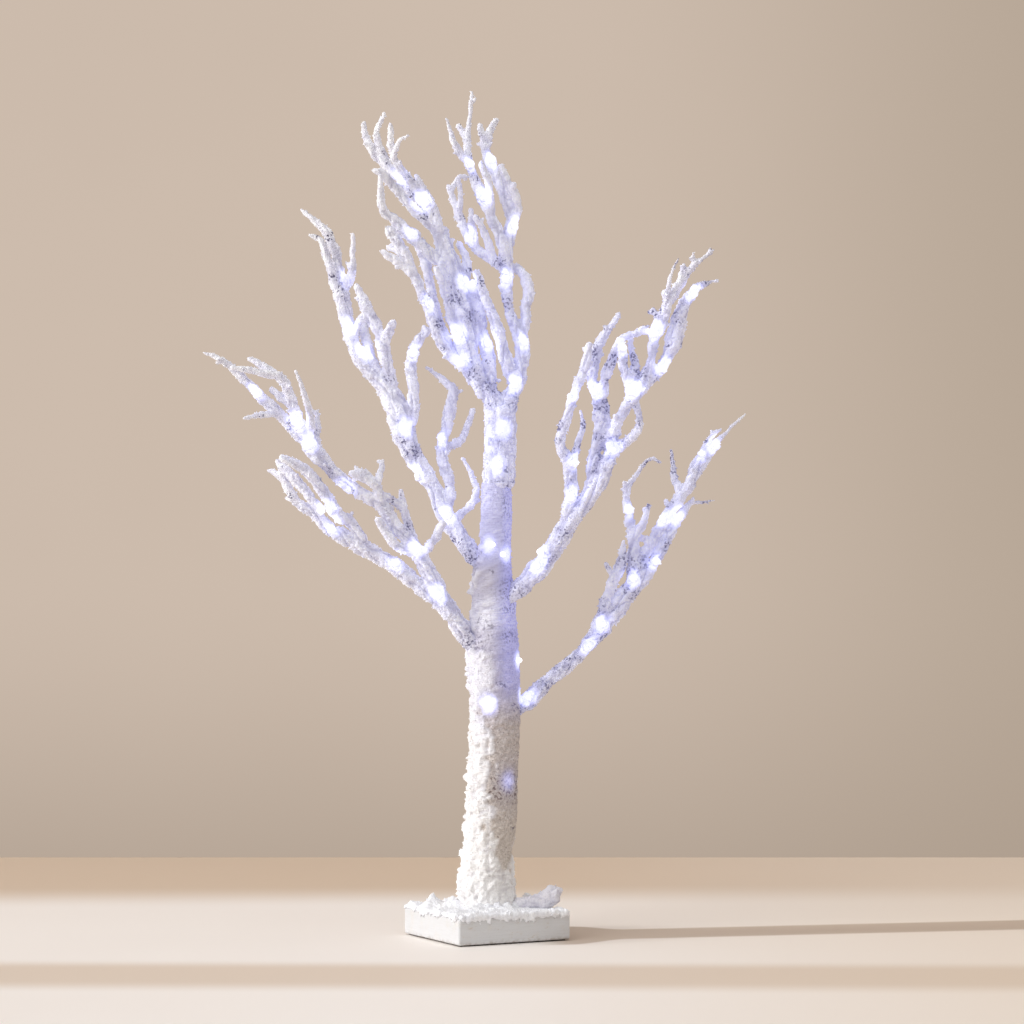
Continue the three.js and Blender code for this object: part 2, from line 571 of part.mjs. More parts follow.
function snowBed() {
  const side = baseSide - 2 * snowMargin;
  const geometry = new THREE.BoxGeometry(side, side, 1, snowSteps, snowSteps, 1);
  geometry.translate(0, 0, blockTop + 0.5);
  const position = geometry.attributes.position;
  const place = new THREE.Vector3();
  for (let i = 0; i < position.count; i += 1) {
    place.fromBufferAttribute(position, i);
    if (place.z > blockTop + 0.5) {
      const seen = place.clone().applyAxisAngle(new THREE.Vector3(0, 0, 1), -treeTurn);
      position.setZ(i, blockTop + snowHeight(seen.x, seen.y));
    }
  }
  return solid(geometry);
}

function clump() {
  const points = clumpPath.map(([x, y, z]) => {
    const lift = blockTop - measuredBlockTop;
    return new THREE.Vector3(x, y, z + lift).applyAxisAngle(new THREE.Vector3(0, 0, 1), treeTurn);
  });
  return taperedTube(points, clumpPath.map((row) => row[3]), 7, new THREE.Vector3(0, 0, 1));
}

function tray() {
  const shell = block(trayLength, trayWidth, trayHeight, bayCentreX, bayCentreY, trayBottom);
  const cavity = block(
    trayLength - 2 * trayWall, trayWidth - 2 * trayWall, trayHeight,
    bayCentreX, bayCentreY, trayBottom - trayWall,
  );
  return shell.subtract(cavity);
}

// Place and direction of each cell, its neighbours lying the other way round
function cellPlace(number) {
  const y = bayCentreY + (number - (cellCount - 1) / 2) * (cellDiameter + fit);
  return { y, z: trayBottom + cellDiameter / 2 + fit / 2, flipped: number % 2 === 1 };
}

function mirroredInBay(body, flipped) {
  return flipped ? body.mirror([1, 0, 0]).translate([2 * bayCentreX, 0, 0]) : body;
}

function cell(number) {
  const { y, z, flipped } = cellPlace(number);
  const start = cavityStart + springLength;
  const can = lyingBar(cellDiameter, cellLength - cellNubLength, start, y, z);
  const nub = lyingBar(cellNubDiameter, cellNubLength + 1, start + cellLength - cellNubLength - 1, y, z);
  return mirroredInBay(can.add(nub), flipped);
}

function contactSpring(number) {
  const { y, z, flipped } = cellPlace(number);
  const spring = lyingBar(cellDiameter - 3, springLength - fit, cavityStart, y, z, cellDiameter / 2);
  return mirroredInBay(spring, flipped);
}

function contactPlate(number) {
  const { y, z, flipped } = cellPlace(number);
  const end = cavityStart + trayLength - 2 * trayWall;
  const size = cellDiameter - 3;
  const sheet = block(contactThickness, size, size, end - contactThickness / 2, y, z - size / 2);
  return mirroredInBay(sheet, flipped);
}

function batteryCover() {
  const lid = block(
    coverLength, coverWidth, coverThickness, coverZoneX - coverTravel / 2, bayCentreY, feltThickness,
  );
  const rails = block(
    coverLength, coverWidth + 2 * railDepth, railHeight,
    coverZoneX - coverTravel / 2, bayCentreY, railBottom,
  );
  const gripLines = [0, 1, 2].map((row) => block(
    1, coverWidth / 2, 0.6, coverZoneX + coverLength / 2 - coverTravel / 2 - 4 - 2.5 * row,
    bayCentreY, feltThickness - 0.3,
  ));
  return cut(lid.add(rails), gripLines);
}

function timerBoard() {
  const sheet = block(boardLength, boardWidth, boardThickness, ...boardCentre, boardBottom);
  const holes = postPlaces.map(([x, y]) => bar(
    screwHole, 3 * boardThickness, x, y, boardBottom - boardThickness, 10,
  ));
  return cut(sheet, holes);
}

function timerChip() {
  const [length, width, height] = chipSize;
  return block(length, width, height, boardCentre[0] - 4, boardCentre[1] - 3, boardBottom - height);
}

function boardScrew([x, y]) {
  const head = bar(screwHeadDiameter, 1, x, y, boardBottom - 1, 12);
  const shank = bar(screwDiameter, screwLength - 2 * fit, x, y, boardBottom - 0.5, 8);
  return head.add(shank);
}

function switchHousing() {
  const shell = block(switchDepth, switchLength, switchHeight, switchX, boardCentre[1], switchBottom);
  const cavity = block(
    knobFlange[2] + 2 * slip, cavityLength, knobFlange[1] + 2 * slip,
    switchX + switchDepth / 2 - switchWall - knobFlange[2] / 2 - slip, boardCentre[1],
    knobZ - knobFlange[1] / 2 - slip,
  );
  const mouth = block(
    switchDepth, knobStem[0] + knobTravel + 2 * slip, knobStem[1] + 2 * slip,
    switchX + switchDepth / 2, boardCentre[1], knobZ - knobStem[1] / 2 - slip,
  );
  return cut(shell, [cavity, mouth]);
}

function switchKnob() {
  const y = boardCentre[1] - knobTravel / 2;
  const flangeX = switchX + switchDepth / 2 - switchWall - knobFlange[2] / 2 - slip;
  const flange = block(
    knobFlange[2], knobFlange[0], knobFlange[1], flangeX, y, knobZ - knobFlange[1] / 2,
  );
  const reach = baseSide / 2 + knobReach - flangeX;
  const stem = block(
    reach, knobStem[0], knobStem[1], flangeX + reach / 2, y, knobZ - knobStem[1] / 2,
  );
  return flange.add(stem);
}

function baseLead() {
  const start = boardCentre[1] + boardWidth / 2 - 2 * leadDiameter;
  const end = bayCentreY - trayWidth / 2 - fit;
  const points = [
    new THREE.Vector3(leadX, start, boardBottom - fit),
    new THREE.Vector3(leadX, start + leadDiameter, leadZ),
    new THREE.Vector3(leadX, end, leadZ),
  ];
  return tube(points, leadDiameter / 2, 6, new THREE.Vector3(1, 0, 0));
}

// Trunk, in the tree's own directions

function trunkTube(rows) {
  const points = rows.map(([height, x]) => new THREE.Vector3(x, 0, height));
  return taperedTube(points, rows.map((row) => row[2]), trunkSides);
}

// Room for the trunk's foot in the snow, in the base's directions
function footRoom() {
  const [foot, above] = trunkLower.map(([height, x, radius]) => [height, x, radius + 2 * fit]);
  const room = trunkTube([[foot[0] - 5, foot[1], foot[2]], foot, above]);
  const turn = THREE.MathUtils.radToDeg(treeTurn);
  return room.rotate([0, 0, turn]).translate([0, 0, blockTop - measuredBlockTop]);
}

// Place on the trunk where a limb bends
function limbPivot(limb) {
  const { centre, radius } = trunkAt(limb.root[1]);
  const round = THREE.MathUtils.degToRad(limb.round);
  const out = radius - limb.sink;
  return new THREE.Vector3(
    centre.x + Math.cos(round) * out, Math.sin(round) * out, limb.root[1],
  );
}

function rodPoints() {
  const middle = [60, 118, 166, 240, 276, 323.3].map((height) => trunkAt(height).centre);
  const foot = measuredBlockTop - blockTop + feltThickness + footPocket - washerThickness - nutHeight - 1;
  return [
    new THREE.Vector3(0, 0, foot), new THREE.Vector3(0, 0, measuredBlockTop),
    ...middle, trunkAt(rodTop).centre,
  ];
}

// Stubs of limb wire that leave the rod and end at the limb's bend
function stubLines() {
  return limbs.map((limb) => {
    const pivot = limbPivot(limb);
    const start = trunkAt(Math.min(limb.root[1] - stubRise, rodTop - stubRise)).centre;
    const away = pivot.clone().sub(start);
    const length = away.length() - rootSweep(limb) - slip - fit;
    return [start, start.clone().addScaledVector(away.normalize(), length)];
  });
}

function rod(clearance = 0) {
  const main = tube(rodPoints(), rodDiameter / 2 + clearance, 6);
  const stubs = stubLines().map(([start, end]) => {
    const beyond = end.clone().sub(start).normalize().multiplyScalar(4 * clearance);
    return tube([start, end.clone().add(beyond)], stubDiameter / 2 + clearance);
  });
  return join([main, ...stubs]);
}

function washer() {
  const disc = bar(washerDiameter, washerThickness, 0, 0, feltThickness + footPocket - washerThickness);
  return disc.subtract(bar(rodDiameter + 2 * fit, blockTop, 0, 0, 0));
}

function nut() {
  const bottom = feltThickness + footPocket - washerThickness - nutHeight;
  const body = bar(nutAcross / Math.cos(Math.PI / 6), nutHeight, 0, 0, bottom, 6);
  return body.subtract(bar(rodDiameter + 2 * fit, blockTop, 0, 0, 0));
}

// The lamp lead in the trunk runs in front of the rod
function trunkLeadStart() {
  const foot = new THREE.Vector3(trunkLower[0][1], trunkLeadDepth, 0);
  return foot.applyAxisAngle(new THREE.Vector3(0, 0, 1), treeTurn);
}

function trunkLeadPlace(height) {
  const { centre, radius } = trunkAt(height);
  const depth = Math.max(trunkLeadDepth, 2 - radius);
  return new THREE.Vector3(centre.x, depth, height);
}

function trunkLeadLine() {
  const bottom = measuredBlockTop - blockTop + boardBottom + boardThickness + fit;
  const foot = trunkLeadPlace(trunkLower[0][0]).setZ(bottom);
  return [foot, ...trunkLeadHeights.map(trunkLeadPlace)];
}

// Where each lamp on the trunk leaves the lead, which way it points and how far its tip is
function trunkLampPlaces() {
  return trunkLamps.map(([height, round]) => {
    const { centre, radius } = trunkAt(height);
    const angle = THREE.MathUtils.degToRad(round);
    const out = new THREE.Vector3(Math.sin(angle), -Math.cos(angle), 0);
    const from = trunkLeadPlace(height);
    const away = centre.addScaledVector(out, radius + lampShow).sub(from);
    return [from, away.clone().normalize(), away.length(), Math.min(lampLength, away.length())];
  });
}

function trunkLights() {
  const lead = tube(trunkLeadLine(), lampLead / 2);
  return join([lead, ...trunkLampPlaces().map((place) => lamp(...place))]);
}

function trunkLightRoom() {
  const lead = tube(trunkLeadLine(), lampLead / 2 + fit);
  return join([lead, ...trunkLampPlaces().map((place) => lampHole(...place))]);
}

// Greatest distance from a limb's bend of the stem's end behind it
function rootSweep(limb) {
  return rootReach * Math.SQRT2 * stemCorner(limb);
}

// Room that a limb's bend and stem need in the trunk to swing
function swingRoom(limb) {
  const pivot = limbPivot(limb);
  const heading = stemHeading(limb);
  const radius = (stemCorner(limb) + slip) / Math.cos(Math.PI / 8);
  const back = pivot.clone().addScaledVector(heading, -rootSweep(limb) - slip);
  const end = pivot.clone().addScaledVector(heading, swingReach);
  return taperedTube([back, pivot, end], [radius, radius, radius + swingReach * swingFlare], 8);
}

function trunkWrap(rows) {
  const rooms = limbs.map(swingRoom);
  return cut(trunkTube(rows), [rod(fit), trunkLightRoom(), ...rooms]);
}

// Limbs, each about its own bend, in the tree's own directions

// True place, about the bend, of a measured place at a depth beside the limb's plane
function limbPlace(limb, x, z, beside) {
  const pivot = limbPivot(limb);
  const reach = Math.hypot(x - limb.root[0], z - limb.root[1]);
  const depth = pivot.y + limb.lean * reach + beside;
  const near = 1 + (depth - pivot.y) / viewDistance;
  return new THREE.Vector3(
    eyeSide + (x - eyeSide) * near - limb.root[0],
    depth - pivot.y,
    eyeHeight + (z - eyeHeight) * near - limb.root[1],
  );
}

function ramp(from, to, count) {
  return (i) => THREE.MathUtils.lerp(from, to, i / (count - 1));
}

function localStrand(limb, [from, to, rows]) {
  const depth = ramp(from, to, rows.length);
  return rows.map(([x, z], i) => limbPlace(limb, x, z, depth(i)));
}

// Direction in which a limb's stem leaves its bend
function stemHeading(limb) {
  const [start, next] = localStrand(limb, limb.strands[0]);
  return next.sub(start).normalize();
}

// The stem's end behind the bend
function stemEnd(limb, beyond = 0) {
  return stemHeading(limb).multiplyScalar(-rootReach * stemCorner(limb) - beyond);
}

// A limb's wire lies behind its leads and starts at the stem's end. Its hole starts before it, by beyond
function wireLine(limb, beyond = 0) {
  const line = [stemEnd(limb, beyond), ...localStrand(limb, limb.wire)];
  line.forEach((point) => {
    point.y += wireOffset;
  });
  return line;
}

// A limb's leads, the first one from the stem's end on
function leadLines(limb, beyond = 0) {
  const lines = limb.leads.map((lead) => localStrand(limb, lead));
  lines[0].unshift(stemEnd(limb, beyond));
  return lines;
}

// Where each lamp leaves its lead, which way it points and how far its tip is
function limbLampPlaces(limb) {
  const lines = leadLines(limb);
  return limb.lamps.map(([line, along, radius, round]) => {
    const places = line === 0 ? lines[line].slice(1) : lines[line];
    const index = Math.min(Math.floor(along), places.length - 2);
    const from = places[index].clone().lerp(places[index + 1], along - index);
    const angle = THREE.MathUtils.degToRad(round);
    const heading = new THREE.Vector3(Math.sin(angle), -Math.cos(angle), 0.25).normalize();
    return [from, heading, radius + lampShow, radius + lampShow];
  });
}

function limbWire(limb) {
  return tube(wireLine(limb), wireDiameter / 2);
}

function limbLights(limb) {
  const leads = leadLines(limb).map((line) => tube(line, lampLead / 2));
  return join([...leads, ...limbLampPlaces(limb).map((place) => lamp(...place))]);
}

function sectionSides(thickest) {
  if (thickest >= stemFrom) return stemSides;
  return thickest >= branchFrom ? branchSides : twigSides;
}

// Corner distance of a section with the same area as a round one
function cornerRadius(radius, sides) {
  return radius * Math.sqrt((2 * Math.PI) / (sides * Math.sin((2 * Math.PI) / sides)));
}

function stemCorner(limb) {
  return cornerRadius(limb.strands[0][2][0][2], stemSides);
}

function wrapStrand(limb, strand) {
  const round = strand[2].map((row) => row[2]);
  const sides = sectionSides(Math.max(...round));
  return [localStrand(limb, strand), round.map((radius) => cornerRadius(radius, sides)), sides];
}

function limbWrap(limb) {
  const strands = limb.strands.map((strand) => wrapStrand(limb, strand));
  const [points, radii] = strands[0];
  points.unshift(stemEnd(limb));
  radii.unshift(rootReach * radii[0]);
  const wireRoom = tube(wireLine(limb, wireDiameter), wireDiameter / 2 + fit);
  const leadRooms = leadLines(limb, wireDiameter).map((line) => tube(line, lampLead / 2 + fit));
  const lampRooms = limbLampPlaces(limb).map((place) => lampHole(...place));
  const wrap = join(strands.map((strand) => taperedTube(...strand)));
  return cut(wrap, [wireRoom, ...leadRooms, ...lampRooms]);
}

function limbGroup(limb) {
  const group = new THREE.Group();
  group.position.copy(limbPivot(limb));
  group.add(
    piece(`${limb.name}_snow`, limbWrap(limb), finish.snow),
    piece(`${limb.name}_wire`, limbWire(limb), finish.wire),
    piece(`${limb.name}_lights`, limbLights(limb), finish.lamp),
  );
  return group;
}

function baseGroup() {
  const group = new THREE.Group();
  const bed = snowBed().subtract(footRoom());
  group.add(
    piece('base_block', baseBlock(), finish.paint),
    piece('base_felt', baseFelt(), finish.felt),
    piece('snow_bed', bed, finish.snow),
    piece('snow_clump', clump().subtract(bed.translate([0, 0, fit])), finish.snow),
    piece('battery_tray', tray(), finish.dark),
    piece('battery_cover', batteryCover(), finish.plastic),
    piece('timer_board', timerBoard(), finish.board),
    piece('timer_chip', timerChip(), finish.dark),
    piece('switch_housing', switchHousing(), finish.steel),
    piece('switch_knob', switchKnob(), finish.dark),
    piece('base_lead', baseLead(), finish.dark),
    piece('trunk_washer', washer(), finish.steel),
    piece('trunk_nut', nut(), finish.steel),
  );
  for (let number = 0; number < cellCount; number += 1) {
    group.add(
      piece(`cell_${number + 1}`, cell(number), finish.cell),
      piece(`contact_spring_${number + 1}`, contactSpring(number), finish.steel),
      piece(`contact_plate_${number + 1}`, contactPlate(number), finish.steel),
    );
  }
  postPlaces.forEach((place, i) => {
    group.add(piece(`board_screw_${i + 1}`, boardScrew(place), finish.steel));
  });
  return group;
}

function treeGroup() {
  const group = new THREE.Group();
  group.position.z = blockTop - measuredBlockTop;
  group.rotation.z = treeTurn;
  group.add(
    piece('trunk_rod', rod(), finish.steel),
    piece('trunk_wrap_lower', trunkWrap(trunkLower), finish.wrapping),
    piece('trunk_wrap_upper', trunkWrap(trunkUpper), finish.snow),
    piece('trunk_lights', trunkLights(), finish.lamp),
    ...limbs.map(limbGroup),
  );
  return group;
}

const group = new THREE.Group();
group.add(baseGroup(), treeGroup());

export default group;
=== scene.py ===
import json
import math

import bmesh
import bpy
import numpy as np
from mathutils import Euler, Matrix, Vector, kdtree


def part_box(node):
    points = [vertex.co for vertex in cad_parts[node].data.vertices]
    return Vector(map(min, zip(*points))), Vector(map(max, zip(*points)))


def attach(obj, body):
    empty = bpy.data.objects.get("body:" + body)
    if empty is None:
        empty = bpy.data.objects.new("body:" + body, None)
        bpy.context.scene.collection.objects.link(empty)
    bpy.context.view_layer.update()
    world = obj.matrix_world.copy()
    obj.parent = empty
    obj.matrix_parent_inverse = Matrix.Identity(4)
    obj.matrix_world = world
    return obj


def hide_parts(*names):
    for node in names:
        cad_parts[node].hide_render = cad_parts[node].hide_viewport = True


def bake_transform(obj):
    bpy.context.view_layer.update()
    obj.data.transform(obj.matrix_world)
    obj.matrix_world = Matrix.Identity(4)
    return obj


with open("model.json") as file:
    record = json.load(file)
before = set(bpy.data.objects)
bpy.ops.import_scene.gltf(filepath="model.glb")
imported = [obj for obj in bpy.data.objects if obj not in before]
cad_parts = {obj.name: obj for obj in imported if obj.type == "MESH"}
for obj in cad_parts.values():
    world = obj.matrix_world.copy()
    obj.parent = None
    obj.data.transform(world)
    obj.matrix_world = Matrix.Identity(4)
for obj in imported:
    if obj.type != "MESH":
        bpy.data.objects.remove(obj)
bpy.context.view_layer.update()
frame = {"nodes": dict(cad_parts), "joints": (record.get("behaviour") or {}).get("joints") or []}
scene = bpy.context.scene
mm = 0.001
print("frame in")

# The tree stands turned on its base, and the photo looks at it square on from 2.556 m away
treeTurn = math.radians(-27.4)
eye = {"distance": 2.556, "side": 0.018, "height": 0.302, "lens": 126.56, "nearest": 0.05}

photoCamera = bpy.data.objects.new("photoCamera", bpy.data.cameras.new("photoCamera"))
photoCamera.data.lens = eye["lens"]
photoCamera.data.clip_start = eye["nearest"]
standsAt = Vector((eye["side"], -eye["distance"], eye["height"]))
photoCamera.location = Matrix.Rotation(treeTurn, 3, "Z") @ standsAt
photoCamera.rotation_euler = Euler((math.pi / 2, 0, treeTurn))
scene.collection.objects.link(photoCamera)
scene.camera = photoCamera
scene.view_settings.view_transform = "Standard"


def spun(points, angle):
    x, y, z = np.asarray(points, float).reshape(-1, 3).T
    c, s = math.cos(angle), math.sin(angle)
    return np.column_stack([x * c - y * s, x * s + y * c, z])


def toPart(points):
    # tree's own directions to the base's
    return spun(points, treeTurn)


def toTree(points):
    return spun(points, -treeTurn)


def lumps(points, size, seed):
    # soft lumps about size across, from -1 to 1
    place = np.asarray(points, float) / size + np.array([seed * 7.31, seed * 3.17, seed * 5.73])
    cell = np.floor(place).astype(np.int64)
    part = place - cell
    fade = part * part * part * (part * (part * 6 - 15) + 10)
    total = np.zeros(len(place))
    for corner in np.ndindex(2, 2, 2):
        x, y, z = (cell + corner).T
        mixed = (x * 73856093 ^ y * 19349663 ^ z * 83492791 ^ seed * 2654435) & 0x7FFFFFFF
        mixed = (mixed ^ (mixed >> 13)) * 1274126177 & 0x7FFFFFFF
        mixed = (mixed ^ (mixed >> 16)) & 0xFFFF
        near = np.where(corner, fade, 1 - fade)
        total += near[:, 0] * near[:, 1] * near[:, 2] * (mixed / 32767.5 - 1)
    return total


def ease(low, high, value):
    share = np.clip((value - low) / (high - low), 0, 1)
    return share * share * (3 - 2 * share)


def meshObject(name, points, faces):
    mesh = bpy.data.meshes.new(name)
    mesh.from_pydata([tuple(p) for p in points], [], faces)
    made = bpy.data.objects.new(name, mesh)
    scene.collection.objects.link(made)
    return made


def stacked(parts):
    points, faces, start = [], [], 0
    for places, sides in parts:
        points.append(np.asarray(places, float))
        faces += [[i + start for i in side] for side in sides]
        start += len(places)
    return np.concatenate(points), faces


def settle(obj):
    # the object's modifiers become its plain mesh
    graph = bpy.context.evaluated_depsgraph_get()
    mesh = bpy.data.meshes.new_from_object(obj.evaluated_get(graph))
    obj.modifiers.clear()
    old, obj.data = obj.data, mesh
    mesh.name = obj.name
    bpy.data.meshes.remove(old)


def vectorsOf(items, kind):
    out = np.zeros(len(items) * 3, np.float32)
    items.foreach_get(kind, out)
    return out.reshape(-1, 3).astype(float)


def places(obj):
    return vectorsOf(obj.data.vertices, "co")


def normals(obj):
    return vectorsOf(obj.data.vertex_normals, "vector")


def move(obj, points):
    obj.data.vertices.foreach_set("co", np.asarray(points, np.float32).ravel())
    obj.data.update()


def store(obj, name, values):
    held = obj.data.attributes.get(name) or obj.data.attributes.new(name, "FLOAT", "POINT")
    held.data.foreach_set("value", np.asarray(values, np.float32))


def smoothShaded(obj):
    obj.data.polygons.foreach_set("use_smooth", [True] * len(obj.data.polygons))


def outward(obj):
    work = bmesh.new()
    work.from_mesh(obj.data)
    bmesh.ops.recalc_face_normals(work, faces=work.faces)
    work.to_mesh(obj.data)
    work.free()


def mergedCopy(node):
    # a CAD node's shape with its loose triangles merged, which leaves the node as it is
    work = bmesh.new()
    work.from_mesh(frame["nodes"][node].data)
    bmesh.ops.remove_doubles(work, verts=work.verts, dist=2e-6)
    bmesh.ops.recalc_face_normals(work, faces=work.faces)
    return work


def finePath(points, radii, step):
    # the measured places joined by a smooth line
    points, radii = np.asarray(points, float), np.asarray(radii, float)
    padded = np.vstack([2 * points[0] - points[1], points, 2 * points[-1] - points[-2]])
    line, widths = [], []
    for i in range(len(points) - 1):
        a, b, c, d = padded[i:i + 4]
        count = max(2, int(np.linalg.norm(c - b) / step))
        for k in range(count):
            t = k / count
            line.append(0.5 * (2 * b + (c - a) * t + (2 * a - 5 * b + 4 * c - d) * t * t
                               + (3 * b - a - 3 * c + d) * t ** 3))
            widths.append(radii[i] * (1 - t) + radii[i + 1] * t)
    line.append(points[-1])
    widths.append(radii[-1])
    return np.array(line), np.array(widths)


def ringFaces(rings, sides):
    # faces of rings one after the other, closed by two last points
    faces = []
    for r in range(rings - 1):
        for k in range(sides):
            a, b = r * sides + k, r * sides + (k + 1) % sides
            faces.append([a, b, b + sides, a + sides])
    end = rings * sides
    faces += [[(k + 1) % sides, k, end] for k in range(sides)]
    faces += [[end - sides + k, end - sides + (k + 1) % sides, end + 1] for k in range(sides)]
    return faces


def roundTube(line, widths, sides=9):
    # a tube with rounded ends
    line, widths = np.asarray(line, float), np.asarray(widths, float)
    first, last = line[1] - line[0], line[-1] - line[-2]
    first, last = first / np.linalg.norm(first), last / np.linalg.norm(last)
    line = np.vstack([line[0] - first * widths[0] * 0.6, line, line[-1] + last * widths[-1] * 0.6])
    widths = np.concatenate([[widths[0] * 0.55], widths, [widths[-1] * 0.55]])
    heading = np.gradient(line, axis=0)
    heading /= np.linalg.norm(heading, axis=1)[:, None]
    across = np.cross(heading[0], [0.13, 0.97, 0.2])
    turn = np.arange(sides) * 2 * math.pi / sides
    points = []
    for place, width, along in zip(line, widths, heading):
        across = across - along * (across @ along)
        across /= np.linalg.norm(across)
        up = np.cross(along, across)
        points.append(place + width * (np.outer(np.cos(turn), across) + np.outer(np.sin(turn), up)))
    tips = [line[0] - heading[0] * widths[0] * 0.4, line[-1] + heading[-1] * widths[-1] * 0.4]
    return np.vstack(points + tips), ringFaces(len(line), sides)


def ball(centre, radius, sides=10):
    rings = sides // 2
    points = []
    for r in range(1, rings + 1):
        tilt = math.pi * r / (rings + 1)
        for k in range(sides):
            turn = 2 * math.pi * k / sides
            points.append([math.sin(tilt) * math.cos(turn), math.sin(tilt) * math.sin(turn), math.cos(tilt)])
    points += [[0, 0, 1], [0, 0, -1]]
    faces = [[f[0], *f[:0:-1]] if len(f) == 4 else f[::-1] for f in ringFaces(rings, sides)]
    return np.array(points) * radius + np.asarray(centre, float), faces


def fused(obj, voxel, smoothing):
    mod = obj.modifiers.new("fuse", "REMESH")
    mod.mode = "VOXEL"
    mod.voxel_size = voxel
    mod.use_smooth_shade = True
    settle(obj)
    mod = obj.modifiers.new("soften", "SMOOTH")
    mod.factor = 0.5
    mod.iterations = smoothing
    settle(obj)
    # shells left inside the surface go
    mesh = obj.data
    mesh.calc_loop_triangles()
    corners = np.zeros(len(mesh.loop_triangles) * 3, np.int32)
    mesh.loop_triangles.foreach_get("vertices", corners)
    corners = corners.reshape(-1, 3)
    label = np.arange(len(mesh.vertices))
    while True:
        least = label[corners].min(1)
        after = label.copy()
        for k in range(3):
            np.minimum.at(after, corners[:, k], least)
        after = after[after]
        if (after == label).all():
            break
        label = after
    a, b, c = places(obj)[corners.T]
    volume = np.bincount(label[corners[:, 0]], (a * np.cross(b, c)).sum(1) / 6, len(label))
    leastVolume = 2e-11
    inner = np.nonzero(volume[label] < leastVolume)[0]
    work = bmesh.new()
    work.from_mesh(mesh)
    work.verts.ensure_lookup_table()
    bmesh.ops.delete(work, geom=[work.verts[k] for k in inner], context="VERTS")
    work.to_mesh(obj.data)
    work.free()
    smoothShaded(obj)


# Node building
black, white = (0, 0, 0, 1), (1, 1, 1, 1)


def put(tree, kind, inputs=None, **settings):
    node = tree.nodes.new(kind)
    for key, value in settings.items():
        setattr(node, key, value)
    for key, value in (inputs or {}).items():
        if isinstance(value, bpy.types.NodeSocket):
            tree.links.new(value, node.inputs[key])
        else:
            node.inputs[key].default_value = value
    return node


def hue(text):
    # a screen colour as the renderer's numbers
    out = []
    for k in (1, 3, 5):
        value = int(text[k:k + 2], 16) / 255
        out.append(value / 12.92 if value <= 0.04045 else ((value + 0.055) / 1.055) ** 2.4)
    return (*out, 1)


def calc(tree, how, a, b=0.0, clamp=False):
    return put(tree, "ShaderNodeMath", {0: a, 1: b}, operation=how, use_clamp=clamp).outputs[0]


def times(tree, a, b):
    return calc(tree, "MULTIPLY", a, b)


def plus(tree, a, b):
    return calc(tree, "ADD", a, b)


def between(tree, value, low, high, out=(0, 1)):
    return put(tree, "ShaderNodeMapRange", {
        "Value": value, "From Min": low, "From Max": high, "To Min": out[0], "To Max": out[1],
    }, interpolation_type="SMOOTHSTEP").outputs[0]


def blended(tree, factor, a, b, how="MIX"):
    a, b = (hue(side) if isinstance(side, str) else side for side in (a, b))
    return put(tree, "ShaderNodeMix", {0: factor, 6: a, 7: b}, data_type="RGBA", blend_type=how).outputs[2]


def stain(tree, base, mask, strength, colour):
    # a colour over the base as far as the mask goes
    return blended(tree, times(tree, mask, strength), base, colour)


def clouds(tree, place, scale, detail, rough=0.5):
    return put(tree, "ShaderNodeTexNoise", {
        "Vector": place, "Scale": scale, "Detail": detail, "Roughness": rough}).outputs[0]


def noise(tree, place, size, detail=2.0, rough=0.55):
    return clouds(tree, place, 1 / size, detail, rough)


def held(tree, name):
    return put(tree, "ShaderNodeAttribute", attribute_name=name).outputs["Fac"]


def newGroup(name, inputs, outputs):
    # inputs with their first value, or None for a place; outputs with their kind
    tree = bpy.data.node_groups.new(name, "ShaderNodeTree")
    for label, value in inputs.items():
        kind = "NodeSocketVector" if value is None else "NodeSocketFloat"
        socket = tree.interface.new_socket(label, in_out="INPUT", socket_type=kind)
        if value is not None:
            socket.default_value = value
    for label, kind in outputs.items():
        tree.interface.new_socket(label, in_out="OUTPUT", socket_type="NodeSocket" + kind)
    return tree, tree.nodes.new("NodeGroupInput").outputs, tree.nodes.new("NodeGroupOutput").inputs


def send(tree, outlets, values):
    for label, value in values.items():
        tree.links.new(value, outlets[label])


def useGroup(tree, group, inputs):
    return put(tree, "ShaderNodeGroup", inputs, node_tree=group).outputs


def newMaterial(name):
    made = bpy.data.materials.new(name)
    made.use_nodes = True
    made.node_tree.nodes.clear()
    return made, made.node_tree, put(made.node_tree, "ShaderNodeTexCoord").outputs["Object"]


def surface(tree, inputs):
    shader = put(tree, "ShaderNodeBsdfPrincipled", inputs)
    put(tree, "ShaderNodeOutputMaterial", {"Surface": shader.outputs[0]})


def bump(tree, height, strength, distance):
    return put(tree, "ShaderNodeBump", {"Height": height, "Strength": strength, "Distance": distance}).outputs[0]


def stretched(tree, place, **how):
    return put(tree, "ShaderNodeMapping", {"Vector": place, **how}).outputs[0]


def split(tree, place):
    return put(tree, "ShaderNodeSeparateXYZ", {0: place}).outputs


# Fine grain of flock: how light a place is, where a dark fleck lies, and the height of the grains
flockGrain, i, o = newGroup("flockGrain", {"Place": None, "Size": 0.0012}, {
    "Shade": "Float", "Fleck": "Float", "Curl": "Float", "Height": "Float"})
tree = flockGrain
per = calc(tree, "DIVIDE", 1.0, i["Size"])
fine, broad, flakes, marked = (
    clouds(tree, i["Place"], times(tree, per, share), detail, rough)
    for share, detail, rough in ((1.0, 3.0, 0.6), (0.16, 2.0, 0.5), (0.62, 1.0, 0.5), (0.085, 1.0, 0.5)))
cells = put(tree, "ShaderNodeTexVoronoi", {"Vector": i["Place"], "Scale": times(tree, per, 0.8)}, feature="F1")
curl = between(tree, flakes, 0.53, 0.62)
send(tree, o, {
    "Shade": plus(tree, times(tree, fine, 0.45), times(tree, broad, 0.55)),
    "Curl": curl,
    "Fleck": times(tree, curl, between(tree, marked, 0.64, 0.72)),
    "Height": calc(tree, "SUBTRACT", fine, times(tree, cells.outputs["Distance"], 0.5))})

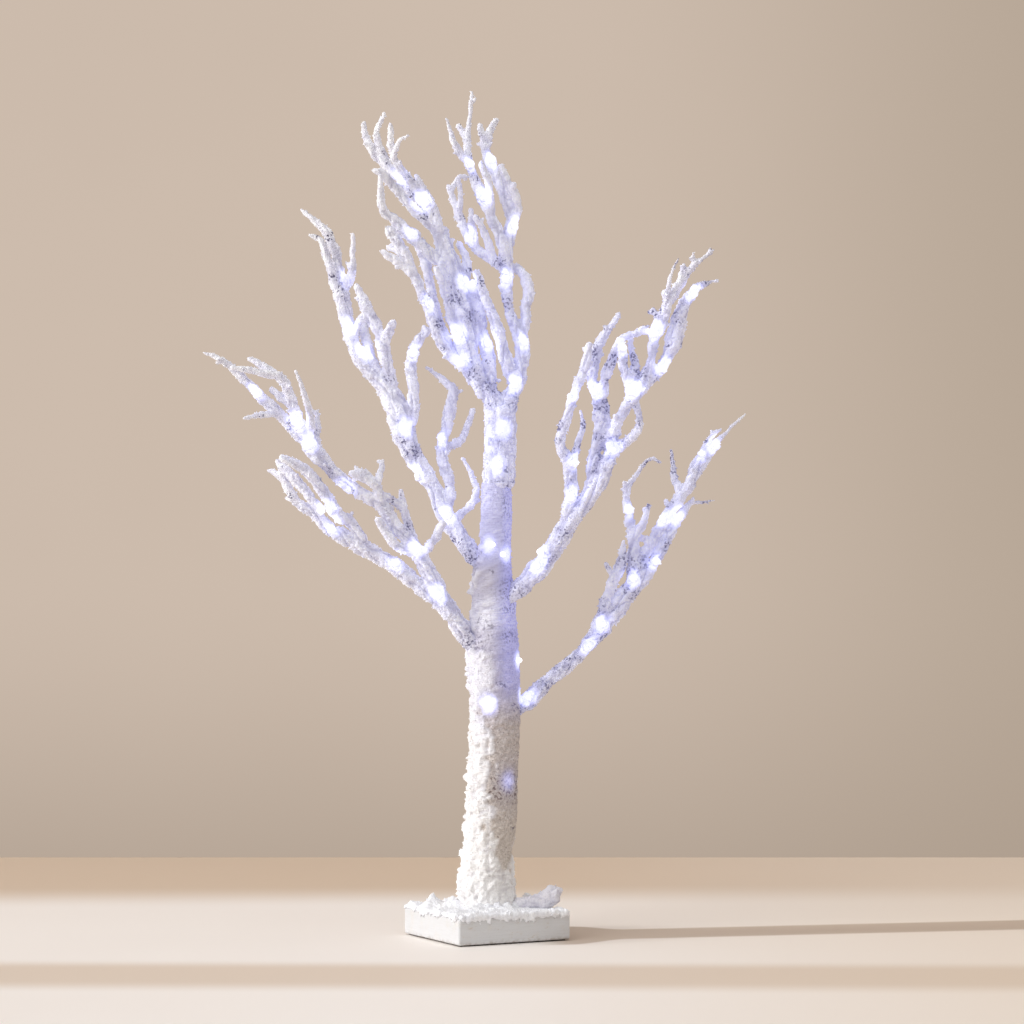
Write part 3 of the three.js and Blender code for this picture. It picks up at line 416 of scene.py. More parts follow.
# Light that the lamps throw on what is round them, as the colour that a surface glows with
lampGlow, i, o = newGroup("lampGlow", {"Near": 1.0, "Far": 0.2}, {"Glow": "Color", "Tint": "Float"})
tree = lampGlow
tint = held(tree, "tint")
halo = times(tree, held(tree, "halo"), i["Near"])
glow = stain(tree, black, tint, i["Far"], "#B4B9FF")
glow = blended(tree, between(tree, halo, 0.0, 0.7), glow, "#BEC2FF")
glow = blended(tree, between(tree, halo, 0.35, 0.9), glow, "#DDE0EC")
send(tree, o, {"Glow": glow, "Tint": tint})
print("helpers ready")


# ---- limbs, measured square on to the tree: where each strand starts and ends in depth beside its
# limb, then sideways place, height and radius, all in mm ----
limbs = {
    "low_left": {
        "root": (-9, 208), "lean": -0.2, "strands": (
        (0, 0, (-9, 208, 6.5), (-18, 220, 7), (-32, 241, 6.2), (-49, 274, 6), (-64, 291, 4.6),
         (-75, 307, 4.6), (-92, 317, 4.2), (-110, 331, 4.6), (-126, 350, 6.6)),
        (0, 6, (-122, 346, 5), (-133, 358, 4.2), (-147, 371, 4.4), (-175, 399, 3.2), (-188, 410, 2),
         (-200, 415, 0.9)),
        (0, -9, (-126, 350, 4.4), (-134, 369, 3.6), (-144, 395, 3.6), (-156, 400, 3), (-180, 404, 1.6)),
        (0, -14, (-126, 351, 3.4), (-125, 372, 2.7), (-135, 402, 1.2)),
        (0, 9, (-49, 275, 4), (-56, 294, 3.4), (-60, 317, 1.5)),
        (0, -7, (-75, 306, 3.8), (-78, 321, 3.3), (-96, 329, 2.2)),
        (0, -6, (-47, 272, 4), (-38, 281, 3.5), (-31, 294, 2.8)),
        (0, 8, (-28, 235, 6), (-40, 244, 6), (-65, 264, 6), (-80, 272, 6), (-96, 282, 5.8)),
        (8, 14, (-93, 280, 5), (-110, 289, 5.3), (-120, 300, 4.2), (-136, 311, 3.6), (-148, 338, 2)),
        (7, -7, (-87, 277, 4.4), (-94, 292, 4), (-106, 301, 4.3), (-116, 318, 4), (-129, 332, 3.8),
         (-145, 341, 2.4)),
        (1, -8, (-147, 371, 2.6), (-160, 371, 2.3), (-172, 368, 1.2)),
        (-3, 6, (-144, 394, 3), (-157, 405, 2.8), (-169, 411, 1.5)),
        (-1, 7, (-137, 376, 3), (-146, 384, 2.8), (-153, 389, 2)),
        (0, 12, (-121, 346, 3.8), (-120, 361, 3), (-120, 374, 1.2)),
        (0, -9, (-50, 274, 4), (-62, 277, 3.6), (-72, 288, 3), (-77, 297, 2.4)),
        (8, 0, (-60, 305, 2.6), (-70, 313, 2.7), (-77, 313, 2.7)),
        (0, -7, (-78, 321, 3.2), (-87, 329, 3), (-96, 329, 2.2)),
        (-3, 6, (-78, 319, 2.7), (-75, 330, 2.3), (-74, 338, 1.6)),
        (0, 13, (-117, 303, 3.2), (-128, 317, 3.2), (-139, 328, 3.5), (-145, 334, 3)),
        (13, 20, (-142, 324, 3.2), (-149, 329, 2.4), (-154, 331, 1.3)),
    )},
    "mid_left": {
        "root": (-5.5, 267), "lean": 0.18, "strands": (
        (0, 0, (-5.5, 267, 6), (-14, 278, 6.6), (-28, 298, 6.8), (-38, 320, 6.1), (-51, 340, 6.6),
         (-59, 358, 9), (-64, 376, 8.5), (-72, 393, 7)),
        (0, -6, (-70, 389, 5.8), (-84, 402, 5.5), (-91, 412, 5.2), (-99, 433, 4.2), (-112, 478, 3.2),
         (-118, 495, 2.6), (-125, 499, 1.4)),
        (-2, 12, (-93, 415, 4.6), (-99, 442, 4.4), (-109, 490, 3.8), (-119, 506, 3), (-132, 517, 1)),
        (0, -12, (-66, 382, 5), (-71, 408, 4.4), (-76, 428, 5), (-86, 447, 4.4), (-92, 463, 2)),
        (0, -10, (-57, 354, 5), (-52, 378, 4.5), (-53, 415, 4), (-42, 431, 3.4)),
        (0, 10, (-29, 299, 5), (-26, 320, 3.6), (-32, 345, 4.4), (-25, 379, 4.6), (-25, 391, 3.6),
         (-43, 405, 1)),
        (5, 14, (-31, 346, 3.4), (-18, 354, 3), (-10, 374, 2)),
        (0, -8, (-25, 295, 3.6), (-7, 314, 2.5), (-17, 340, 1.6)),
        (6, -10, (-102, 459, 3.4), (-96, 474, 3), (-95, 499, 1.4)),
        (0, 14, (-74, 393, 4.4), (-85, 420, 3.8), (-87, 438, 3.2), (-84, 446, 2.6)),
        (-10, -2, (-84, 443, 3), (-91, 436, 2.6), (-97, 424, 2.8)),
        (-9, -16, (-74, 420, 4), (-70, 430, 3.8), (-66, 437, 3)),
    )},
    "crown_left": {
        "root": (3.6, 381), "lean": -0.03, "strands": (
        (0, 0, (3.6, 381, 6.2), (-3, 391, 7.4), (-12, 402, 6.2), (-18, 408, 5)),
        (0, -14, (-17, 406, 4.4), (-28, 416, 3.9), (-36, 430, 4), (-52, 470, 3.8), (-74, 487, 2.2)),
        (0, 12, (-16, 406, 4.4), (-31, 430, 3.8), (-46, 487, 3.3), (-58, 499, 2.8), (-70, 500, 2)),
        (0, 4, (-4, 391, 6.5), (-13, 415, 7.5), (-16, 440, 7.5), (-22, 463, 6.5), (-36, 506, 4.8),
         (-42, 524, 4.4), (-50, 541, 1.6)),
        (4, -12, (-34, 500, 4.2), (-60, 526, 3.6), (-71, 541, 3.2), (-80, 544, 2)),
        (4, 16, (-37, 511, 4.2), (-52, 529, 3.6), (-77, 554, 3.3), (-85, 567, 2.6), (-86, 578, 1.6)),
        (12, 6, (-68, 546, 3.3), (-78, 568, 2.5), (-72.5, 585, 0.9)),
        (4, -10, (-43, 523, 3.6), (-65, 553, 3), (-68, 578, 1.4)),
        (2, -14, (-27, 478, 4.6), (-40, 486, 4.8), (-52, 498, 5), (-66, 510, 3.8), (-74, 518, 3.3),
         (-75, 541, 1.4)),
        (0, 14, (-11, 418, 4.6), (-10, 448, 4.4), (-28, 492, 4), (-31, 502, 3.4)),
        (0, 6, (3, 386, 4.8), (2.5, 400, 4.8), (1.5, 412, 4.8), (-2, 428, 4.4), (-9, 466, 3)),
        (0, -5, (-10, 400, 4.6), (-20, 425, 4), (-27, 448, 3.8), (-31, 468, 3.4), (-32, 478, 2.6)),
        (-3, -12, (-28, 454, 3.4), (-32, 466, 3), (-36, 475, 2.4)),
        (-6, -14, (-66, 554, 2), (-61, 566, 1.2), (-56, 570, 0.9)),
        (-9, -13, (-48, 463, 4), (-58, 485, 4), (-68, 502, 3.6)),
        (-10, -2, (-54, 476, 3.8), (-61, 487, 3), (-69, 490, 2)),
        (9, 17, (-13, 458, 3.2), (-14, 480, 2.8), (-19, 492, 2.4)),
    )},
    "crown_right": {
        "root": (16.4, 381), "lean": 0.06, "strands": (
        (0, 0, (16.4, 381, 5), (20, 390, 6), (24, 405, 6), (25, 421, 5.4), (21, 433, 4.8), (15, 449, 4.2),
         (14, 480, 4.2)),
        (0, 8, (24, 424, 4.4), (28, 447, 3.5), (29, 463, 3.5), (24, 473, 3.4), (13, 476, 3.4)),
        (0, -14, (20, 392, 5), (13, 412, 5), (8, 430, 4.4), (-8, 472, 2.8)),
        (0, -10, (14, 476, 4.2), (10, 494, 4), (-5, 531, 4), (-13, 549, 3.3)),
        (-9, -16, (-12, 547, 3), (-22, 562, 2.4), (-29, 582, 1)),
        (-10, 2, (-12, 546, 3), (-14, 566, 2.7), (-10, 600, 0.9)),
        (0, 10, (14, 477, 4.2), (17, 503, 4.4), (16, 518, 4.2), (2, 552, 4), (-5, 577, 2)),
        (0, 12, (13, 476, 4.2), (-2, 485, 3.8), (-12, 495, 3.4), (-27, 533, 2.2)),
        (-5, 3, (-13, 563, 2.2), (-20, 576, 1.8)),
        (8, 14, (-1, 561, 3), (3, 574, 2.6), (7, 580, 2)),
        (3, -8, (16, 503, 3.2), (22, 518, 3), (16, 534, 3), (10, 548, 2.2)),
        (-5, -18, (3, 511, 3.2), (2, 530, 2.8), (-4, 549, 2.4)),
        (9, 2, (-20, 510, 2.6), (-19, 526, 1.9), (-20, 537, 1.4)),
        (11, 15, (-26, 528, 2), (-20, 540, 1.4), (-11, 540, 1.1)),
        (4, -4, (-9, 490, 3.2), (-11, 504, 2.8), (-11, 517, 1.8)),
        (2, -9, (5, 480, 3.2), (-1, 499, 2.8), (-8, 512, 2.2)),
    )},
    "high_right": {
        "root": (16.8, 243), "lean": -0.18, "strands": (
        (0, 0, (16.8, 243, 6.4), (27, 251, 6.8), (37, 262, 7.5), (45, 272, 7.3), (54, 287, 7.5),
         (62, 299, 7)),
        (0, -10, (57, 293, 5.4), (60, 322, 5.2), (58, 335, 4.6), (53.5, 346, 3.9), (53, 357, 3.6),
         (62, 385, 3.4), (71, 410, 3.2), (73, 421, 2)),
        (0, 0, (60, 297, 6), (78, 320, 6.6), (88, 344, 4.7), (87, 355, 4.8)),
        (0, 8, (73, 311, 5.4), (77, 345, 4.7), (82, 359, 6), (79, 384, 6), (75, 396, 4.8), (79, 419, 3.4),
         (94, 442, 2)),
        (0, -8, (87, 352, 5), (92, 366, 3.8), (99, 376, 4.4), (103, 386, 5), (97, 405, 3.4),
         (95, 424, 3.2)),
        (0, 0, (88, 344, 4), (106, 358, 2.8), (108.5, 369, 2.4), (103, 386, 3)),
        (4, -8, (81, 380, 4.6), (83, 394, 4), (95, 423, 3.4), (110, 430, 2.2), (119, 429, 2.4)),
        (-5, -2, (103, 384, 4.3), (111, 392, 4.5), (117, 412, 3.7), (119, 428, 3.9), (128, 448, 3.6),
         (136, 465, 2.1)),
        (-3, 10, (111, 392, 4.2), (122, 402, 4.3), (132, 422, 5.7), (138, 444, 5), (144, 455, 4.3),
         (151, 462, 2.8), (164, 466.5, 0.8)),
        (-2, 2, (128, 448, 3.3), (145, 474, 2.2), (161.5, 488, 0.7)),
        (-4, 10, (60, 334, 3.8), (64, 350, 2.5), (68, 361, 2), (67, 374, 0.9)),
        (-3, 4, (107, 430, 1.6), (114, 434, 1)),
        (-5, 4, (103, 389, 4.6), (105, 404, 3.1), (103, 416, 2.1), (101, 429, 2.2)),
        (-4, -2, (119, 428, 3.9), (122, 438, 2.6), (118, 446, 1.4)),
        (-2, -10, (119, 425, 3.6), (126, 438, 3.1), (128, 450, 3.7), (126, 458, 2)),
        (-8, -14, (128, 451, 2.4), (130, 468, 1.3), (136, 482, 0.9)),
        (-8, 0, (128, 450, 2.6), (136, 465, 2.1), (140, 477, 1.7)),
        (3, -2, (146, 474, 1.8), (147, 485, 0.9)),
    )},
    "low_right": {
        "root": (21, 162), "lean": 0.24, "strands": (
        (0, 0, (21, 162, 6.4), (31, 169, 6.8), (42, 180, 6.1), (61, 196, 4.6), (70, 205, 4.8),
         (83, 221, 7)),
        (0, -10, (78, 213, 5.2), (84, 238, 4.4), (95, 264, 4), (97, 282, 1.3)),
        (0, -4, (81, 217, 6), (95, 240, 6), (104, 253, 6), (104, 281, 4.8), (100.5, 306, 3),
         (100.5, 319, 2.4), (115, 339, 1.5), (124, 337, 0.9)),
        (0, 6, (88, 226, 5.6), (111, 256, 6), (119, 266, 4.3), (132, 290, 4.3), (145, 309, 1.8)),
        (3, -3, (109, 253, 4.8), (112, 270, 3.5), (131, 303, 4.2), (144, 321, 4.6), (149, 334, 4.4),
         (160, 355, 2.1), (167, 361, 1)),
        (-2, 12, (139, 314, 3.6), (133, 328, 2.3), (131.5, 346, 0.9)),
        (-1, 11, (142, 318, 4.4), (157, 342, 3.6), (168, 356, 1.6), (184, 372, 0.7)),
        (-7, -12, (88, 250, 3.4), (89, 258, 2.6), (85, 265, 1.3)),
        (-3, -7, (100.5, 315, 2.1), (98, 323, 1.3)),
        (-3, -12, (104, 282, 3.8), (111, 294, 2.7), (115.5, 307, 0.9)),
        (-1, 1, (104, 285, 3.2), (112, 283, 2.9), (117, 280, 3)),
        (0, 6, (131, 303, 3), (127.5, 310, 1.4)),
        (4, 10, (138, 300, 2.6), (146, 308, 1.5), (162, 310, 0.7)),
    )},
}


# Lamps: the middle of each lamp's widest ring in the CAD lights, and where its tip points
lampRing = {"sides": 5, "radius": 0.0022, "slack": 2e-4, "uneven": 1e-4}


def lampPlaces(node):
    work = mergedCopy(node)
    found = []
    for tip in work.verts:
        ring = [edge.other_vert(tip).co for edge in tip.link_edges]
        if len(ring) != lampRing["sides"]:
            continue
        centre = sum(ring, Vector()) / len(ring)
        reach = [(p - centre).length for p in ring]
        round_ = max(reach) - min(reach) < lampRing["uneven"]
        if round_ and abs(reach[0] - lampRing["radius"]) < lampRing["slack"]:
            found.append((np.array(centre), np.array((tip.co - centre).normalized())))
    work.free()
    return found


def power(name, height):
    # the trunk's lowest lamp only glows through the flock, and a pair higher up is half buried
    if name != "trunk":
        return 1.0
    return 0.32 if height < 0.13 else 0.7 if 0.25 < height < 0.29 else 1.0


lampsOf = {name: [(centre, aim, power(name, centre[2])) for centre, aim in lampPlaces(name + "_lights")]
           for name in [*limbs, "trunk"]}
# the lamp in the crown's parting stands a little aside, clear of the other half when both lean in
for centre, _, _ in lampsOf["crown_left"]:
    if centre[0] > -0.01:
        centre += (-0.0008, 0.0004, 0)
everyLamp = [lamp for lamps in lampsOf.values() for lamp in lamps]
print("lamps", {name: len(lamps) for name, lamps in lampsOf.items()}, len(everyLamp))

halo = {"out": 0.004, "reach": 0.0064, "buriedReach": 0.0078}


def lit(obj, wide=0.019, burst=2.2):
    # painted lamp light: how near the lamps each place is, and whether it faces them; wide is how far their tint
    # goes, burst how far the white round them does
    co, facing = places(obj), normals(obj)
    white, tint = np.zeros(len(co)), np.zeros(len(co))
    for centre, aim, share in everyLamp:
        away = centre + aim * halo["out"] - co
        far = np.linalg.norm(away, axis=1)
        seen = ease(-0.7, 0.4, (away * facing).sum(1) / np.maximum(far, 1e-6))
        reach = halo["buriedReach"] if share < 0.5 else halo["reach"]
        white += share * np.exp(-(far / reach) ** 2) * (0.2 + 0.8 * seen)
        tint += max(share, 0.8) * np.exp(-far / wide) * (0.4 + 0.6 * seen)
    side, _, up = toTree(co).T
    # the painted lamp light is weaker on the tree's left and towards its top
    less = (0.6 + 0.4 * ease(-0.08, 0.0, side)) * (1 - 0.45 * ease(0.45, 0.52, up))
    store(obj, "halo", np.clip(white * burst, 0, 1))
    store(obj, "tint", (1 - np.exp(-0.9 * tint)) * less)


def bathed(obj):
    # painted lamp light: the upper wrapping takes the lamps' colour all over, and its right side further down
    side, _, up = toTree(places(obj)).T
    kept = np.zeros(len(side), np.float32)
    obj.data.attributes["tint"].data.foreach_get("value", kept)
    right = ease(0.14, 0.186, up) * (0.25 + 0.75 * ease(0.0, 0.016, side))
    store(obj, "tint", np.maximum(kept, np.maximum(0.75 * ease(0.25, 0.272, up), right)))


# Where the flock is worn through to dark specks: limb roots, then places seen square on to the
# tree as sideways place, height and size in mm
limbRoots = [np.array(joint["pos_m"]) for joint in frame["joints"] if joint["name"].endswith("_bend")]
rootWear = {"low": 0.015, "high": 0.008, "from": 0.3}
wornSpots = (
    (-22, 452, 6), (-11, 440, 6), (-10, 401, 6), (-2, 392, 6), (-33, 435, 5), (-42, 452, 6), (7, 389, 6),
    (13, 450, 6), (9, 480, 5), (-8, 545, 6), (-5, 524, 6), (82, 232, 4), (68, 206, 4), (57, 192, 3),
    (-112, 329, 5), (-98, 319, 5), (-66, 303, 5), (-54, 292, 4), (-51, 345, 6), (75, 300, 7), (92, 350, 6),
    (66, 345, 6), (108, 400, 6), (12, 352, 5), (14, 236, 6), (16, 214, 6), (2, 218, 6))


def spotted(worn, far, size):
    return np.maximum(worn, np.exp(-(far / size) ** 4))


def speckled(obj, stepped=0.0):
    co = places(obj)
    side, _, up = (toTree(co) / mm).T
    worn = stepped * np.exp(-((up - 323.4) / 0.9) ** 4)
    for root in limbRoots:
        size = rootWear["low"] if root[2] < rootWear["from"] else rootWear["high"]
        worn = spotted(worn, np.linalg.norm(co - root, axis=1), size)
    for x, z, size in wornSpots:
        worn = spotted(worn, np.hypot(side - x, up - z), size)
    worn = np.maximum(worn, 0.95 * ease(20, 50, side) * ease(0.0, 0.5, lumps(co, 0.011, 34)))
    band = np.exp(-((side - 14) / 3.6) ** 4) * ease(261, 266, up) * ease(324, 322, up)
    worn = np.maximum(worn, 0.85 * stepped * band)
    store(obj, "worn", worn * ease(-0.9, 0.0, lumps(co, 0.007, 33)))


def newTree(name, inputs):
    tree = bpy.data.node_groups.new(name, "GeometryNodeTree")
    for label, kind in inputs.items():
        tree.interface.new_socket(label, in_out="INPUT", socket_type="NodeSocket" + kind)
    tree.interface.new_socket("Geometry", in_out="OUTPUT", socket_type="NodeSocketGeometry")
    return tree, tree.nodes.new("NodeGroupInput").outputs


def endTree(tree, instances, finish, kept=None):
    real = put(tree, "GeometryNodeRealizeInstances", {"Geometry": instances}).outputs[0]
    smooth = put(tree, "GeometryNodeSetShadeSmooth", {"Geometry": real}).outputs[0]
    if kept is not None:
        both = put(tree, "GeometryNodeJoinGeometry")
        tree.links.new(smooth, both.inputs[0])
        tree.links.new(kept, both.inputs[0])
        smooth = both.outputs[0]
    last = put(tree, "GeometryNodeSetMaterial", {"Geometry": smooth, "Material": finish}).outputs[0]
    put(tree, "NodeGroupOutput", {0: last})


def anyBetween(tree, low, high, seed):
    kind, first, out = ("FLOAT_VECTOR", 0, 0) if isinstance(low, tuple) else ("FLOAT", 2, 1)
    inputs = {first: low, first + 1: high, "Seed": seed}
    return put(tree, "FunctionNodeRandomValue", inputs, data_type=kind).outputs[out]


def grow(obj, tree, values):
    # runs a tree on the object and keeps what it makes as the plain mesh
    mod = obj.modifiers.new(tree.name, "NODES")
    mod.node_group = tree
    for item in tree.interface.items_tree:
        if item.item_type == "SOCKET" and item.in_out == "INPUT" and item.name in values:
            mod[item.identifier] = values[item.name]
    settle(obj)


# Crumbs of loose snow stuck all over a surface
scatterCrumbs, given = newTree("scatterCrumbs", {
    "Surface": "Geometry", "Per Square Metre": "Float", "Seed": "Int", "Smallest": "Float",
    "Largest": "Float", "Finish": "Material"})
tree = scatterCrumbs
spots = put(tree, "GeometryNodeDistributePointsOnFaces", {
    "Mesh": given["Surface"], "Density": given["Per Square Metre"], "Seed": given["Seed"]}).outputs
crumb = put(tree, "GeometryNodeMeshIcoSphere", {"Radius": 1.0, "Subdivisions": 1}).outputs[0]
size = anyBetween(tree, given["Smallest"], given["Largest"], given["Seed"])
shape = anyBetween(tree, (0.5, 0.5, 0.8), (1.0, 1.0, 2.4), 5)
scale = put(tree, "ShaderNodeVectorMath", {0: shape, "Scale": size}, operation="SCALE").outputs[0]
turn = put(tree, "FunctionNodeRotateRotation", {
    0: spots["Rotation"], 1: anyBetween(tree, (-0.9, -0.9, 0), (0.9, 0.9, 6.28), 9),
}, rotation_space="LOCAL").outputs[0]
crumbs = put(tree, "GeometryNodeInstanceOnPoints", {
    "Points": spots["Points"], "Instance": crumb, "Rotation": turn, "Scale": scale}).outputs[0]
shaded = put(tree, "GeometryNodeStoreNamedAttribute", {
    "Geometry": crumbs, "Name": "shade", "Value": anyBetween(tree, 0.0, 1.0, 13),
}, data_type="FLOAT", domain="INSTANCE").outputs[0]
endTree(tree, shaded, given["Finish"], kept=given["Surface"])

# Small domed lamps, one on each vertex, each turned the way its aim says
setLamps, given = newTree("setLamps", {
    "Spots": "Geometry", "Radius": "Float", "Length": "Float", "Finish": "Material"})
tree = setLamps
dome = put(tree, "GeometryNodeMeshUVSphere", {"Segments": 12, "Rings": 8, "Radius": 1.0}).outputs[0]
aim = put(tree, "GeometryNodeInputNamedAttribute", {"Name": "aim"}, data_type="FLOAT_VECTOR").outputs[0]
facing = put(tree, "FunctionNodeAlignRotationToVector", {"Vector": aim}, axis="Z").outputs[0]
spread = put(tree, "ShaderNodeCombineXYZ", {
    0: given["Radius"], 1: given["Radius"], 2: given["Length"]}).outputs[0]
domes = put(tree, "GeometryNodeInstanceOnPoints", {
    "Points": given["Spots"], "Instance": dome, "Rotation": facing, "Scale": spread}).outputs[0]
endTree(tree, domes, given["Finish"])

# A coiled spring lying along X
coilSpring, given = newTree("coilSpring", {
    "Middle": "Vector", "Turns": "Float", "Wide Radius": "Float", "Narrow Radius": "Float",
    "Length": "Float", "Wire": "Float", "Finish": "Material"})
tree = coilSpring
coil = put(tree, "GeometryNodeCurveSpiral", {
    "Resolution": 26, "Rotations": given["Turns"], "Start Radius": given["Wide Radius"],
    "End Radius": given["Narrow Radius"], "Height": given["Length"]}).outputs[0]
section = put(tree, "GeometryNodeCurvePrimitiveCircle", {"Resolution": 8, "Radius": given["Wire"]}).outputs[0]
rod = put(tree, "GeometryNodeCurveToMesh", {
    "Curve": coil, "Profile Curve": section, "Fill Caps": True}).outputs[0]
lying = put(tree, "GeometryNodeTransform", {
    "Geometry": rod, "Translation": given["Middle"], "Rotation": (0, math.pi / 2, 0)}).outputs[0]
endTree(tree, lying, given["Finish"])
print("trees ready")


# Flocked snow: white, turned lavender near the lamps by painted lamp light, made grey-violet in the hollows by
# painted shade, warm away from the lamps
def snowFinish(name, facts):
    made, tree, place = newMaterial(name)
    grain = useGroup(tree, flockGrain, {"Place": place, "Size": facts["grain"]})
    glow = useGroup(tree, lampGlow, {"Near": facts["near"], "Far": facts["far"]})
    base = blended(tree, between(tree, grain["Shade"], 0.34, 0.64), facts["shaded"], facts["bright"])
    base = stain(tree, base, held(tree, "shade"), 0.5, facts["bright"])
    # painted shade in the hollows and seams of the flock
    base = stain(tree, base, held(tree, "hollow"), facts["depth"], facts["hollow"])
    worn = held(tree, "worn")
    base = stain(tree, base, worn, facts["flecks"] * 0.4, facts["hollow"])
    dark = calc(tree, "MAXIMUM", grain["Fleck"], times(tree, grain["Curl"], worn))
    base = stain(tree, base, dark, facts["flecks"], facts["fleck"])
    # painted lamp light: the lamps' lavender light is multiplied into the colour
    cast = stain(tree, hue(facts["warm"]), glow["Tint"], facts["cool"], "#DADDF7")
    base = blended(tree, 1.0, base, cast, "MULTIPLY")
    # darker under the painted white round the lamps, so that the painted glow there does not turn pure white
    base = stain(tree, base, held(tree, "halo"), 0.55, black)
    # painted glow: the flock gives off some of its own colour, more where the painted lamp light is strong
    through = between(tree, glow["Tint"], 0.0, 1.0, (facts["through"] * 0.6, facts["through"] * 1.6))
    bright = blended(tree, 1.0, glow["Glow"], blended(tree, through, black, base), "ADD")
    soft = noise(tree, place, facts["grain"] * 5, 3.0)
    height = plus(tree, grain["Height"], times(tree, soft, 1.4))
    surface(tree, {
        "Base Color": base, "Roughness": 0.93, "Specular IOR Level": 0.25, "Emission Color": bright,
        "Emission Strength": facts["glow"], "Normal": bump(tree, height, facts["bump"], facts["grain"])})
    return made


frostedFlock = snowFinish("frostedFlock", {
    "grain": 0.0011, "near": 1.1, "far": 0.2, "through": 0.13, "shaded": "#E6E4ED", "bright": "#FDFDFE",
    "hollow": "#958FAA", "depth": 0.45, "flecks": 0.9, "fleck": "#4C4560", "cool": 1.0,
    "warm": "#FEFEFE", "glow": 1.0, "bump": 0.6})

lampFinish, tree, place = newMaterial("litLamp")
core = put(tree, "ShaderNodeLayerWeight", {"Blend": 0.35}).outputs["Facing"]
shine = blended(tree, core, "#FFFFFF", "#D5D8FF")
shine = blended(tree, between(tree, held(tree, "power"), 0.4, 1.0), "#3E3C66", shine)
surface(tree, {"Base Color": hue("#F4F6FF"), "Roughness": 0.12, "Coat Weight": 0.6,
               "Emission Color": shine, "Emission Strength": 3.2})

flock = {
    "voxel": 0.00078, "smoothing": 3, "swell": 0.0003, "knob": 0.0013, "knobSize": 0.0046,
    "bead": 0.0009, "beadSize": 0.0024, "grit": 0.00036, "gritSize": 0.0011, "drawn": 0.72,
    "seam": 0.0012, "seamSize": 0.0062, "lampMound": 0.0033, "crumbs": 62000,
    "smallest": 0.00035, "largest": 0.00088}


def frosted(obj, facts, seed, along=(0, 0, 0), coat=1.0):
    # lumps of flock drawn out along the growth, with seams where two strands of it meet; coat is
    # how deep they are at each place
    co, out = places(obj), normals(obj)
    along = np.asarray(along, float)
    drawn = co - np.outer(co @ along, along) * facts["drawn"]
    knob = np.abs(lumps(drawn, facts["knobSize"], seed))
    bead = np.abs(lumps(co, facts["beadSize"], seed + 1))
    grit = lumps(co, facts["gritSize"], seed + 2)
    seam = np.exp(-(lumps(drawn, facts["seamSize"], seed + 3) / 0.14) ** 2)
    rise = facts["knob"] * (knob - 0.3) + facts["bead"] * (bead - 0.3) - facts["seam"] * seam
    move(obj, co + out * (facts["swell"] + coat * rise + facts["grit"] * grit)[:, None])
    # painted shade: the hollows between the lumps and the seams are marked to be darkened
    store(obj, "hollow", coat * np.maximum(1 - ease(0.04, 0.3, knob * 0.6 + bead * 0.5), seam))


def crumbled(obj, facts, seed, finish):
    grow(obj, scatterCrumbs, {
        "Per Square Metre": float(facts["crumbs"]), "Seed": seed, "Smallest": facts["smallest"],
        "Largest": facts["largest"], "Finish": finish})
    lit(obj, *facts.get("light", ()))


def coatDepth(obj, lines, widths):
    # thin twigs carry a thin coat: how thick the nearest strand is, as a share
    tree = kdtree.KDTree(len(lines))
    for k, place in enumerate(lines):
        tree.insert(place, k)
    tree.balance()
    nearest = [tree.find(place)[1] for place in places(obj)]
    return 0.35 + 0.65 * ease(0.0015, 0.0045, widths[nearest])


strand = {"step": 0.0012, "wander": 0.0007, "wanderSize": 0.007, "uneven": 0.14, "slimmer": 0.95}
spur = {"everySteps": 22, "shortest": 8, "clearOfRoot": 25, "widest": 0.0052, "reach": (0.0016, 0.0042),
        "radii": [0.0019, 0.0016, 0.0009], "sides": 7, "crook": 0.0004, "step": 0.0009}


def spurTube(line, widths, at, seeded):
    # a short ragged end of flock that stands out of a strand
    along = line[at] - line[at - 1]
    along /= np.linalg.norm(along)
    out = seeded.normal(size=3)
    out -= along * (out @ along)
    out = out / np.linalg.norm(out) + along * 0.6
    reach = widths[at] + seeded.uniform(*spur["reach"])
    tip = line[at] + out / np.linalg.norm(out) * reach
    middle = (line[at] + tip) / 2 + seeded.normal(size=3) * spur["crook"]
    return roundTube(*finePath([line[at], middle, tip], spur["radii"], spur["step"]), spur["sides"])


